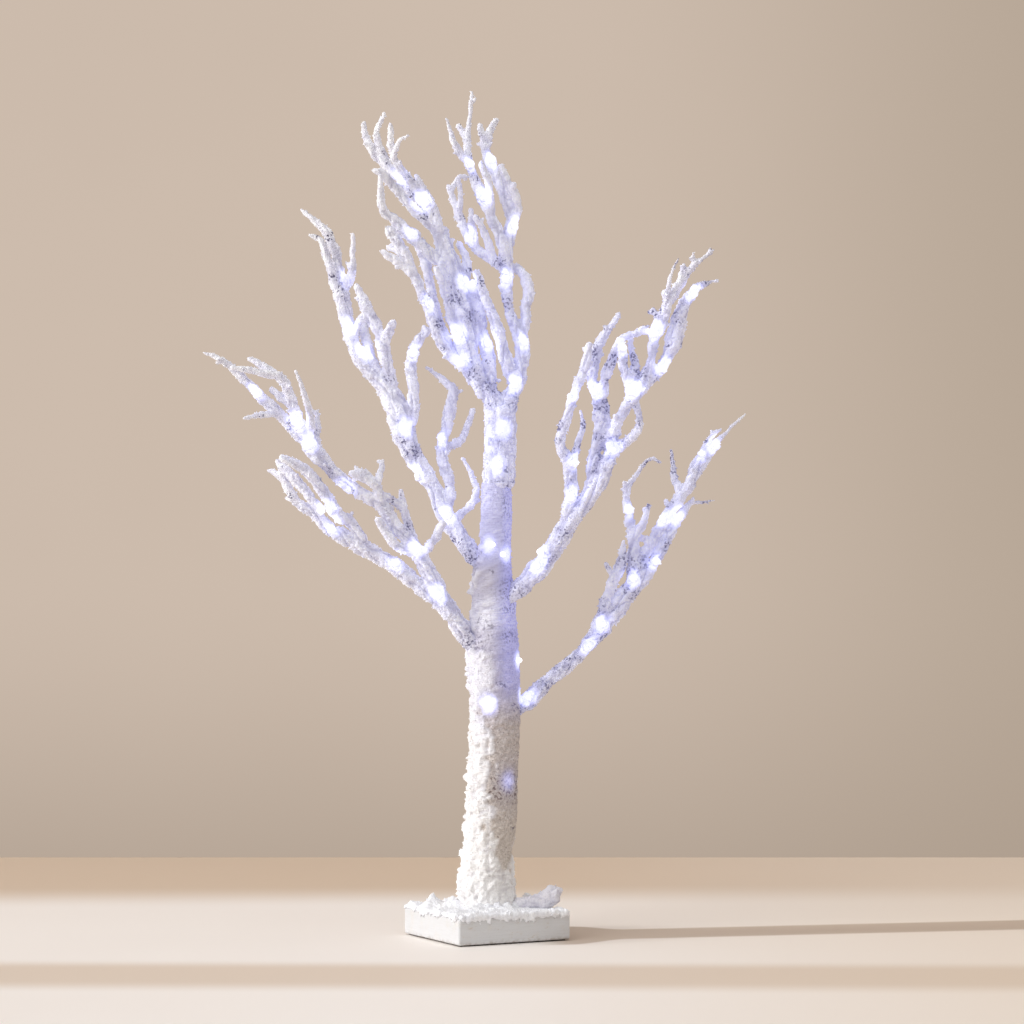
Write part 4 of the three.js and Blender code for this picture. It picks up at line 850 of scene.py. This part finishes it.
def limbTubes(name, facts):
    joint = next(j for j in frame["joints"] if j["name"] == name + "_bend")
    pivot = np.array(joint["pos_m"])
    (rootX, rootZ), lean = facts["root"], facts["lean"]
    seeded = np.random.default_rng(rootZ)
    tubes, lines, coats, heading = [], [], [], None
    for k, (begin, end, *rows) in enumerate(facts["strands"]):
        rows = np.array(rows, float)
        depth = lean * np.hypot(rows[:, 0] - rootX, rows[:, 1] - rootZ) + np.linspace(begin, end, len(rows))
        near = 1 + depth / (eye["distance"] / mm)
        side, height = eye["side"] / mm, eye["height"] / mm
        local = np.column_stack([side + (rows[:, 0] - side) * near - rootX, depth,
                                 height + (rows[:, 1] - height) * near - rootZ])
        line, widths = finePath(pivot + toPart(local) * mm, rows[:, 2] * mm, strand["step"])
        if k == 0:
            heading = (line[3] - line[0]) / np.linalg.norm(line[3] - line[0])
            line = np.vstack([line[0] - heading * widths[0] * 0.6, line])
            widths = np.concatenate([[widths[0]], widths])
        else:
            wander = np.column_stack([lumps(line, strand["wanderSize"], 40 + axis) for axis in range(3)])
            line = line + wander * strand["wander"] * np.minimum(1, np.arange(len(line)) / 6)[:, None]
        widths = widths * (1 + strand["uneven"] * lumps(line, 0.006, 50)) * strand["slimmer"]
        tubes.append(roundTube(line, widths))
        lines.append(line)
        coats.append(widths)
        for _ in range(max(1, len(line) // spur["everySteps"])):
            at = seeded.integers(2, len(line) - 1)
            if len(line) >= spur["shortest"] and widths[at] <= spur["widest"] \
                    and not (k == 0 and at < spur["clearOfRoot"]):
                tubes.append(spurTube(line, widths, at, seeded))
    growth = np.mean([line[-1] for line in lines], axis=0) - pivot
    return pivot, heading, growth / np.linalg.norm(growth), tubes, np.vstack(lines), np.concatenate(coats)


lamp = {"radius": 0.0019, "length": 0.0024, "out": 0.0072, "back": 0.006, "sunkInTrunk": 0.0016}


def bulbRow(name, lamps, body, stands, sunk=0.0):
    out, back = lamp["out"], lamp["back"]
    spots = meshObject(name, [centre + aim * (out * share - back - sunk) for centre, aim, share in lamps], [])
    aims = spots.data.attributes.new("aim", "FLOAT_VECTOR", "POINT")
    aims.data.foreach_set("vector", np.array([aim for _, aim, _ in lamps], np.float32).ravel())
    store(spots, "power", [share for _, _, share in lamps])
    grow(spots, setLamps, {"Radius": lamp["radius"], "Length": lamp["length"], "Finish": lampFinish})
    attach(spots, body)
    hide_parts(stands)


def camel(name, ending):
    first, *rest = name.split("_")
    return first + "".join(word.capitalize() for word in rest) + ending


coarser = 1
for number, (name, facts) in enumerate(limbs.items()):
    pivot, heading, growth, tubes, lines, widths = limbTubes(name, facts)
    mounds = [ball(centre - aim * 0.0003, flock["lampMound"]) for centre, aim, _ in lampsOf[name]]
    skin = meshObject(camel(name, "Frost"), *stacked(tubes + mounds))
    outward(skin)
    fused(skin, flock["voxel"] * coarser, flock["smoothing"])
    frosted(skin, flock, 10 * number + 3, growth, coatDepth(skin, lines, widths))
    crumbled(skin, flock, number + 1, frostedFlock)
    speckled(skin)
    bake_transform(skin)
    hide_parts(name + "_snow")
    bulbRow(camel(name, "Bulbs"), lampsOf[name], name, name + "_lights")
    print(skin.name, sum(len(p.vertices) - 2 for p in skin.data.polygons))


# ---- trunk: heights, sideways places and radii ----
trunkRows = np.array([
    [20, 0.6, 20], [40, 0, 18.5], [60, 0.8, 16.4], [82, 3.6, 17.5], [118, 5, 17], [166, 7, 17], [200, 5, 18],
    [240, 4.8, 15.2], [262, 3.9, 13.5], [276, 6.3, 10.8], [300, 7, 11], [323, 6.9, 10.4]]) * mm
crepe = {
    "from": 0.0188, "to": 0.3228, "step": 0.00088, "columns": 128, "band": 0.0125, "starts": 3,
    "lip": 0.0005, "pleat": 0.00042, "grit": 0.0006, "snow": 0.002, "crumbs": 60000,
    "smallest": 0.00025, "largest": 0.0007, "light": (0.011, 2.0)}
# how much more or less of the wrapping snow covers at each height in mm
snowHeights = [20, 46, 60, 94, 108, 160, 200, 212, 323]
snowBias = [1.5, 0.85, 0.18, 0.02, -0.3, -0.36, -0.4, -0.8, -0.95]


def trunkPlaces(heights, turns, radii):
    middle = np.interp(heights, trunkRows[:, 0], trunkRows[:, 1])
    return toPart(np.column_stack([middle + radii * np.sin(turns), -radii * np.cos(turns), heights]))


steps = np.arange(crepe["from"], crepe["to"], crepe["step"])
rings, columns = len(steps), crepe["columns"]
heights = np.repeat(steps, columns)
turns = np.tile(np.linspace(-math.pi, math.pi, columns, endpoint=False), rings)
radius = np.interp(steps, trunkRows[:, 0], trunkRows[:, 2])
radius = np.convolve(np.pad(radius, 5, "edge"), np.ones(11) / 11, "valid")
radii = np.repeat(radius, columns)
bare = trunkPlaces(heights, turns, radii)
# turns of crepe, each with a raised lip, pleated where they show, calmer near the limbs
band = heights / crepe["band"] - crepe["starts"] * turns / (2 * math.pi) + 0.22 * lumps(bare, 0.022, 61)
lip = np.exp(-(band - np.floor(band)) * 4.5) * crepe["lip"]
sheared = np.column_stack([radii * turns * 0.16, np.zeros(len(radii)), band * crepe["band"]])
seam = ease(math.pi, math.pi - 0.35, np.abs(turns))
calm = 1 - 0.65 * ease(0.256, 0.268, heights)
lip = lip * calm
pleats = (lumps(sheared, 0.0013, 62) + 0.6 * lumps(sheared, 0.0026, 63)) * seam * crepe["pleat"] * calm
# snow on the left and at the foot, in clots along the left edge
lean = np.cos(turns + math.radians(78))
bias = np.interp(heights / mm, snowHeights, snowBias)
rim = np.exp(-((turns - 1.5) / 0.3) ** 2) * ease(0.185, 0.16, heights)
covered = ease(-0.02, 0.32, 0.9 * lean + 0.38 * lumps(bare, 0.013, 64) + 0.36 * lumps(bare, 0.0045, 65)
               + bias + 0.9 * rim)
thick = np.abs(lumps(bare, 0.0068, 66)) * 0.85 + np.abs(lumps(bare, 0.0031, 67)) * 0.35
foot = ease(0.075, 0.045, heights)
earthy = ease(0.18, 0.16, heights)
rough = (0.25 + earthy) * (lumps(bare, 0.0017, 68) + 0.6 * lumps(bare, 0.0034, 70)) * crepe["grit"]
deep = crepe["snow"] * np.maximum(0.4 + 0.6 * foot, lean + 0.1)
clots = 0.002 * covered * ease(0.3, 0.7, lumps(bare, 0.0042, 72)) * ease(0.82, 0.96, lean)
rise = (lip + pleats) * (1 - 0.85 * np.maximum(covered, earthy)) + rough \
    + covered * (0.0004 + deep * thick) + clots + (0.0002 + 0.0003 * covered) * lumps(bare, 0.0012, 69)
points = trunkPlaces(heights, turns, radii + rise)
ends = [points[:columns].mean(0), points[-columns:].mean(0)]
trunk = meshObject("trunkCrepe", np.vstack([points, ends]), ringFaces(rings, columns))
store(trunk, "snow", np.append(covered, [1, 0]))
# painted shade in the crepe's creases and in the hollows between the snow's lumps
creaseShade = (1 - ease(-0.3, 0.5, (lip + pleats) / 0.0006)) * (1 - earthy) * (1 - covered)
store(trunk, "hollow", np.append(np.maximum(creaseShade, covered * (1 - ease(0.05, 0.3, thick))), [0, 0]))
smoothShaded(trunk)

crepeFinish, tree, place = newMaterial("frostedCrepe")
grain = useGroup(tree, flockGrain, {"Place": place, "Size": 0.0012})
glow = useGroup(tree, lampGlow, {"Near": 1.0, "Far": 0.16})
drawnOut = stretched(tree, place, Rotation=(0, 0.33, 0), Scale=(0.4, 0.4, 2.2))
threads = noise(tree, drawnOut, 0.0022, 3.0)
up = split(tree, place)[2]
paper = blended(tree, between(tree, threads, 0.3, 0.7), "#E6E4EB", "#FFFFFF")
# the bare lower part is sandy, with brown grains
sand = noise(tree, place, 0.0021, 4.0, 0.75)
sandy = blended(tree, between(tree, sand, 0.36, 0.62), "#B4A89C", "#DDD4CC")
sandy = stain(tree, sandy, held(tree, "shade"), 0.65, "#E9E3DC")
brown = times(tree, between(tree, up, 0.128, 0.112), between(tree, up, 0.09, 0.102))
grains = noise(tree, place, 0.0021, 1.0)
sandy = stain(tree, sandy, between(tree, grains, 0.66, 0.72), 0.7, "#7A6656")
sandy = stain(tree, sandy, between(tree, grains, 0.5, 0.6), brown, "#7A6656")
# two darker stretches on the paper: the lower one painted shadow of the limbs, the upper one only darker
limbShadowBand = times(tree, between(tree, up, 0.226, 0.214), between(tree, up, 0.165, 0.2))
highBand = times(tree, between(tree, up, 0.238, 0.246), between(tree, up, 0.272, 0.264))
darkerBands = plus(tree, limbShadowBand, highBand)
paper = stain(tree, paper, darkerBands, between(tree, threads, 0.35, 0.6, (0.25, 0.6)), "#B5ADB8")
paper = stain(tree, paper, between(tree, up, 0.215, 0.15), 0.9, sandy)
# painted shade in the creases
paper = stain(tree, paper, held(tree, "hollow"), 0.22, "#8D84A0")
stipple = between(tree, noise(tree, place, 0.0016, 2.0, 0.7), 0.5, 0.62)
paper = stain(tree, paper, stipple, between(tree, glow["Tint"], 0.6, 1.0, (0, 0.42)), "#7F79A8")
dark = calc(tree, "MAXIMUM", grain["Fleck"], times(tree, grain["Curl"], held(tree, "worn")))
paper = stain(tree, paper, dark, 0.7, "#5F5668")
snowy = blended(tree, between(tree, grain["Shade"], 0.3, 0.7), "#ECEAE9", "#FCFBFB")
# painted shade between the snow's lumps
snowy = stain(tree, snowy, held(tree, "hollow"), 0.3, "#B9B2BE")
base = blended(tree, held(tree, "snow"), paper, snowy)
# painted lamp light: the lamps' lavender light multiplied into the colour
base = blended(tree, 1.0, base, blended(tree, glow["Tint"], white, "#C9CAF3"), "MULTIPLY")
# darker under the painted white round the lamps, so that the painted glow there does not turn pure white
base = stain(tree, base, held(tree, "halo"), 0.55, black)
# painted glow: the paper gives off some of its own colour, more where the painted lamp light is strong
through = plus(tree, between(tree, glow["Tint"], 0.0, 1.0, (0.03, 0.13)),
               between(tree, glow["Tint"], 0.8, 1.0, (0, 0.14)))
bright = blended(tree, 1.0, glow["Glow"], blended(tree, through, black, base), "ADD")
height = plus(tree, grain["Height"], times(tree, threads, 1.5))
surface(tree, {
    "Base Color": base, "Roughness": 0.94, "Specular IOR Level": 0.2, "Emission Color": bright,
    "Emission Strength": 1.0, "Normal": bump(tree, height, 0.6, 0.0011)})
crumbled(trunk, crepe, 71, crepeFinish)
bathed(trunk)
speckled(trunk, 1.0)
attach(trunk, "base")
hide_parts("trunk_wrap_lower")

# the stem's end and the two stubs it forks into: sideways place, height and radius in mm
forkRows = (((8.8, 322.4, 11.2), (9.4, 345, 11), (9.9, 366, 11), (9.8, 373, 10.5), (9.8, 377, 8)),
            ((7.5, 366, 7), (5.6, 378, 7), (4.4, 385, 6)), ((12.5, 366, 7), (14.4, 378, 7), (15.6, 385, 6)))
forkCoat = {**flock, "voxel": 0.0007, "seam": 0.0004, "drawn": 0.4, "crumbs": 60000,
            "smallest": 0.00028, "largest": 0.00075, "mound": 0.0032}
forkTubes = []
for rows in forkRows:
    rows = np.array(rows) * mm
    middle = toPart(np.column_stack([rows[:, 0], np.zeros(len(rows)), rows[:, 1]]))
    forkTubes.append(roundTube(*finePath(middle, rows[:, 2], 0.0016), 24))
mounds = [ball(centre - aim * 0.0006, forkCoat["mound"]) for centre, aim, _ in lampsOf["trunk"] if centre[2] > 0.33]
fork = meshObject("trunkFork", *stacked(forkTubes + mounds))
outward(fork)
fused(fork, forkCoat["voxel"], forkCoat["smoothing"])
frosted(fork, forkCoat, 81, (0, 0, 1))
crumbled(fork, forkCoat, 82, frostedFlock)
speckled(fork, 1.0)
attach(fork, "base")
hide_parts("trunk_wrap_upper")
bulbRow("trunkBulbs", lampsOf["trunk"], "base", "trunk_lights", lamp["sunkInTrunk"])
print("trunk done")


# ---- base ----
banked = {
    "grain": 0.0014, "near": 1.0, "far": 0.12, "through": 0.07, "shaded": "#EAEBF0", "bright": "#F8F9FC",
    "hollow": "#CFCDD8", "depth": 0.15, "flecks": 0.0, "fleck": "#8F8794", "cool": 0.5, "warm": "#FFFFFF",
    "glow": 1.0, "bump": 0.45}
bankFinish = snowFinish("bankedSnow", banked)
# the drift's finish is the bank's made darker: painted shade for the shadow that the drift lies in
driftShadeFinish = snowFinish("driftShadedSnow", {
    **banked, "shaded": "#DAD8E2", "bright": "#EFEDF3", "hollow": "#B7B4C7", "depth": 0.4})
bank = {
    "voxel": 0.0008, "smoothing": 2, "swell": 0.0003, "knob": 0.0014, "knobSize": 0.008, "bead": 0.0007,
    "beadSize": 0.003, "grit": 0.0003, "gritSize": 0.0013, "drawn": 0.0, "seam": 0.0, "seamSize": 0.01,
    "crumbs": 85000, "smallest": 0.0003, "largest": 0.00075}
drifted = {**bank, "voxel": 0.0006, "smoothing": 6, "knobSize": 0.006, "crumbs": 70000, "largest": 0.0009}


def copyParts(node):
    work = mergedCopy(node)
    points = np.array([v.co for v in work.verts])
    faces = [[v.index for v in f.verts] for f in work.faces]
    work.free()
    return points, faces


half, rimTop = 0.044, 0.0195
seeded = np.random.default_rng(90)
frays = []
for side, share in enumerate((0.85, 0.5, 0.6, 0.35)):
    # round lumps that hang over the block's edges
    for along in np.arange(-half + 0.003, half - 0.002, 0.0017):
        if seeded.random() > share:
            continue
        width = seeded.uniform(0.0009, 0.0021)
        reach = 0.0006 + 0.0036 * seeded.random() ** 2.5
        turned = Matrix.Rotation(side * math.pi / 2, 3, "Z")
        top = turned @ Vector((along, -half + 0.0004, rimTop + 0.0012))
        low = turned @ Vector((along + seeded.normal() * 0.0012, -half + 0.0002, rimTop - reach))
        frays.append(roundTube(*finePath([top, low], [width, width * 0.75], 0.0009), 8))
bed, bedFaces = copyParts("snow_bed")
for turned in seeded.uniform(0, 2 * math.pi, 52):
    # snow banked up round the trunk's foot
    size, reach = seeded.uniform(0.002, 0.0046), seeded.uniform(0.0195, 0.023)
    spot = toPart([0.0006 + reach * math.sin(turned), -reach * math.cos(turned), 0.0202 + 0.5 * size])
    frays.append(ball(spot[0], size))
frays += [ball(peak - [0, 0, 0.0012], seeded.uniform(0.0016, 0.0026)) for peak in bed if peak[2] > 0.0229]
heap = meshObject("snowBank", *stacked([(bed, bedFaces)] + frays))
outward(heap)
fused(heap, bank["voxel"], bank["smoothing"])
frosted(heap, bank, 91)
# nothing sinks into the block under the snow
co = places(heap)
under = (co[:, 2] < rimTop) & (np.abs(co[:, :2]).max(1) < half - 0.0003)
co[under, 2] = np.maximum(co[under, 2], 0.01905)
move(heap, co)
crumbled(heap, bank, 92, bankFinish)
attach(heap, "base")
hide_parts("snow_bed")

drift = meshObject("snowDrift", *copyParts("snow_clump"))
outward(drift)
fused(drift, drifted["voxel"], drifted["smoothing"])
frosted(drift, drifted, 95)
crumbled(drift, drifted, 96, driftShadeFinish)
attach(drift, "base")
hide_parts("snow_clump")
print("snow done")

feltFinish, tree, place = newMaterial("darkFelt")
fibres = noise(tree, place, 0.0006, 4.0, 0.7)
felt = blended(tree, between(tree, fibres, 0.3, 0.7), "#332C27", "#5A5048")
felt = stain(tree, felt, noise(tree, place, 0.009, 2.0), 0.35, "#6B6058")
surface(tree, {"Base Color": felt, "Roughness": 1.0, "Specular IOR Level": 0.1,
               "Normal": bump(tree, fibres, 0.7, 0.0006)})
felted = meshObject("underFelt", *copyParts("base_felt"))
outward(felted)
fused(felted, 0.00062, 1)
co, out = places(felted), normals(felted)
sideways = np.column_stack([out[:, 0], out[:, 1], np.zeros(len(out))])
co = co + sideways * (0.0003 * lumps(co, 0.0012, 97) - 0.0001)[:, None]
co[:, 2] = np.clip(co[:, 2] + 0.0002 * lumps(co, 0.0015, 98) * (co[:, 2] < 0.0004), 0, 0.00098)
move(felted, co)
felted.data.materials.append(feltFinish)
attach(felted, "base")
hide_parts("base_felt")
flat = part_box("base_felt")[1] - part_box("base_felt")[0]
print("felt done")


# ---- what stays from the CAD, each with its own finish ----
def dress(finish, *nodes):
    for node in nodes:
        slots = frame["nodes"][node].data.materials
        slots.clear()
        slots.append(finish)


# Rubbed and dusty patches that the hard finishes share
handled, i, o = newGroup("handled", {"Place": None, "Size": 0.006}, {
    "Scuff": "Float", "Dust": "Float", "Grain": "Float"})
tree = handled
per = calc(tree, "DIVIDE", 1.0, i["Size"])
cloud = clouds(tree, i["Place"], per, 4.0)
scores = clouds(tree, stretched(tree, i["Place"], Scale=(1.0, 7.0, 3.0)), times(tree, per, 3.0), 3.0)
send(tree, o, {
    "Scuff": times(tree, between(tree, scores, 0.6, 0.7), between(tree, cloud, 0.45, 0.6)),
    "Dust": between(tree, cloud, 0.5, 0.72),
    "Grain": clouds(tree, i["Place"], times(tree, per, 22.0), 2.0)})


def hardFinish(name, facts):
    made, tree, place = newMaterial(name)
    worn = useGroup(tree, handled, {"Place": place, "Size": facts["size"]})
    base = blended(tree, worn["Grain"], facts["dark"], facts["light"])
    base = stain(tree, base, worn["Scuff"], 0.7, facts["scuff"])
    base = stain(tree, base, worn["Dust"], 0.2, "#B9B0A6")
    height = plus(tree, worn["Grain"], worn["Scuff"])
    surface(tree, {
        "Base Color": base, "Metallic": facts["metal"],
        "Roughness": between(tree, worn["Dust"], 0.0, 1.0, (facts["rough"], min(1, facts["rough"] + 0.2))),
        "Normal": bump(tree, height, facts["bump"], 0.0003)})
    dress(made, *facts["nodes"])
    return made


steel = hardFinish("platedSteel", {
    "size": 0.004, "dark": "#8E9093", "light": "#BFC1C3", "scuff": "#6E6A63", "metal": 1.0, "rough": 0.28,
    "bump": 0.15, "nodes": ("switch_housing", "trunk_washer", "trunk_nut", "trunk_rod", "board_screw_1",
                            "board_screw_2", "contact_plate_1", "contact_plate_2", "contact_plate_3")})
hardFinish("annealedWire", {
    "size": 0.003, "dark": "#4E4034", "light": "#7C6750", "scuff": "#A08B70", "metal": 0.8, "rough": 0.5,
    "bump": 0.3, "nodes": [name + "_wire" for name in limbs]})
hardFinish("paleCover", {
    "size": 0.008, "dark": "#DEDBD4", "light": "#EAE8E2", "scuff": "#BDB7AC", "metal": 0.0, "rough": 0.45,
    "bump": 0.2, "nodes": ("battery_cover",)})
hardFinish("darkMoulding", {
    "size": 0.006, "dark": "#202225", "light": "#2F3236", "scuff": "#5A5C5F", "metal": 0.0, "rough": 0.42,
    "bump": 0.2, "nodes": ("battery_tray", "timer_chip", "switch_knob", "base_lead")})
hardFinish("boardLacquer", {
    "size": 0.005, "dark": "#1F5A38", "light": "#35784F", "scuff": "#7F9A6A", "metal": 0.0, "rough": 0.35,
    "bump": 0.15, "nodes": ("timer_board",)})
hardFinish("cellSleeve", {
    "size": 0.007, "dark": "#4A6673", "light": "#5F7E8C", "scuff": "#94A4AA", "metal": 0.2, "rough": 0.3,
    "bump": 0.1, "nodes": ("cell_1", "cell_2", "cell_3")})

coil = {"turns": 4.5, "wire": 0.0003, "inset": 0.0004, "narrow": 0.0013}
for k in (1, 2, 3):
    low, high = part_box(f"contact_spring_{k}")
    start = (low.x, (low.y + high.y) / 2, (low.z + high.z) / 2)
    spring = meshObject(f"cellSpring{k}", [(0, 0, 0)], [])
    grow(spring, coilSpring, {
        "Middle": start, "Turns": coil["turns"], "Wide Radius": (high.y - low.y) / 2 - coil["inset"],
        "Narrow Radius": coil["narrow"], "Length": high.x - low.x, "Wire": coil["wire"], "Finish": steel})
    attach(spring, "base")
    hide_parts(f"contact_spring_{k}")

# Painted block: brushed paint, small chips, and darker patches along the lower edge
paint, tree, place = newMaterial("brushedPaint")
worn = useGroup(tree, handled, {"Place": place, "Size": 0.009})
brush = noise(tree, stretched(tree, place, Scale=(0.25, 0.25, 3.2)), 0.003, 4.0)
lowEdgeDark = times(tree, between(tree, split(tree, place)[2], 0.0045, 0.001),
              between(tree, noise(tree, place, 0.004), 0.35, 0.7))
base = blended(tree, brush, "#D0D0D1", "#DFE0E2")
base = stain(tree, base, worn["Dust"], 0.25, "#D9D2CA")
base = stain(tree, base, worn["Scuff"], 0.5, "#C3B8AA")
base = stain(tree, base, lowEdgeDark, 0.6, "#9C9186")
height = calc(tree, "SUBTRACT", plus(tree, brush, worn["Grain"]), worn["Scuff"])
surface(tree, {"Base Color": base, "Roughness": between(tree, brush, 0.2, 0.8, (0.5, 0.68)),
               "Normal": bump(tree, height, 0.3, 0.0004)})
dress(paint, "base_block")
print("finishes done")


# ---- table, wall and light ----
def fromFront(tree, shader):
    # the stage is seen only from the tree's side of it
    backOfIt = put(tree, "ShaderNodeNewGeometry").outputs["Backfacing"]
    clear = put(tree, "ShaderNodeBsdfTransparent").outputs[0]
    mixed = put(tree, "ShaderNodeMixShader", {0: backOfIt, 1: shader, 2: clear}).outputs[0]
    put(tree, "ShaderNodeOutputMaterial", {"Surface": mixed})


def squareOn(tree, place):
    # the tree's own directions
    unturned = put(tree, "ShaderNodeVectorRotate", {"Vector": place, "Angle": -treeTurn}, rotation_type="Z_AXIS")
    return split(tree, unturned.outputs[0])


table, tree, place = newMaterial("paleTable")
across, deep, _ = squareOn(tree, place)
# painted window shadows: a slanting band across the table and shade over its far part, weaker to the right
skew = plus(tree, deep, times(tree, across, 0.02))
windowShadowStripe = times(tree, between(tree, skew, -0.3, -0.24), between(tree, skew, -0.13, -0.18, (0, 0.75)))
farShade = between(tree, plus(tree, deep, times(tree, across, -0.05)), 0.2, 0.36)
farShade = times(tree, farShade, between(tree, across, 0.5, 0.0, (0.55, 1)))
# the low light throws the trunk's long shadow to the right, wider beside the block
lee = calc(tree, "ABSOLUTE", calc(tree, "SUBTRACT", deep, times(tree, across, 0.2)))
lee = calc(tree, "SUBTRACT", lee, between(tree, across, 0.1, 0.06, (0, 0.025)))
lee = times(tree, between(tree, lee, 0.034, 0.024), between(tree, across, 0.03, 0.06))
tone = blended(tree, noise(tree, place, 0.4, 2.0), "#F6EFE9", "#FCF7F2")
# painted shade: the table darker towards the right
tone = blended(tree, between(tree, across, -0.1, 0.5), tone, "#EDE0D2")
tone = blended(tree, plus(tree, windowShadowStripe, farShade), tone, "#D8C4AF")
tone = stain(tree, tone, lee, 0.7, "#B7A18D")
matt = {"Base Color": tone, "Roughness": 0.6, "Specular IOR Level": 0.2}
fromFront(tree, put(tree, "ShaderNodeBsdfPrincipled", matt).outputs[0])

# The wall shows its own soft tone to the eye, and only bounces light otherwise
plaster, tree, place = newMaterial("beigeWall")
across, _, up = squareOn(tree, place)
tone = blended(tree, noise(tree, place, 0.35, 3.0), "#CAB9AA", "#CFBEAF")
# painted shade: the wall grows darker towards the right and towards the bottom
tone = blended(tree, between(tree, across, 0.05, 0.6), tone, "#B7A797")
tone = blended(tree, between(tree, up, 0.25, -0.15, (0, 0.8)), tone, "#AA9A8B")
seen = put(tree, "ShaderNodeLightPath").outputs["Is Camera Ray"]
flat = put(tree, "ShaderNodeEmission", {"Color": tone, "Strength": 1.0}).outputs[0]
matt = put(tree, "ShaderNodeBsdfDiffuse", {"Color": tone}).outputs[0]
fromFront(tree, put(tree, "ShaderNodeMixShader", {0: seen, 1: matt, 2: flat}).outputs[0])


def stageSheet(name, corners, finish):
    sheet = meshObject(name, toPart(corners), [[0, 1, 2, 3]])
    sheet.data.materials.append(finish)


w, near, far, wall, low, high = 3.0, -3.4, 0.592, 0.9, -1, 2.5
stageSheet("tableTop", [(-w, near, 0), (w, near, 0), (w, far, 0), (-w, far, 0)], table)
stageSheet("backWall", [(-w, wall, low), (w, wall, low), (w, wall, high), (-w, wall, high)], plaster)

world = bpy.data.worlds.new("room")
scene.world = world
world.use_nodes = True
world.node_tree.nodes["Background"].inputs[0].default_value = hue("#FFFBF8")
world.node_tree.nodes["Background"].inputs[1].default_value = 0.38

# name, strength, spread, way round and height in degrees, colour
suns = (("windowLight", 1.52, 7, -80, 13, (0.995, 1, 1)), ("sideLight", 0.95, 40, -48, 30, (1, 0.995, 1)),
        ("roomLight", 0.8, 70, -40, 78, (1, 0.995, 0.995)), ("farLight", 0.4, 40, 105, 25, (1, 0.99, 0.98)))
for name, strength, spread, sideways, above, colour in suns:
    light = bpy.data.lights.new(name, "SUN")
    light.energy, light.angle, light.color = strength, math.radians(spread), colour
    made = bpy.data.objects.new(name, light)
    made.rotation_euler = Euler((math.radians(90 - above), 0, treeTurn + math.radians(sideways)))
    scene.collection.objects.link(made)
print("stage done")
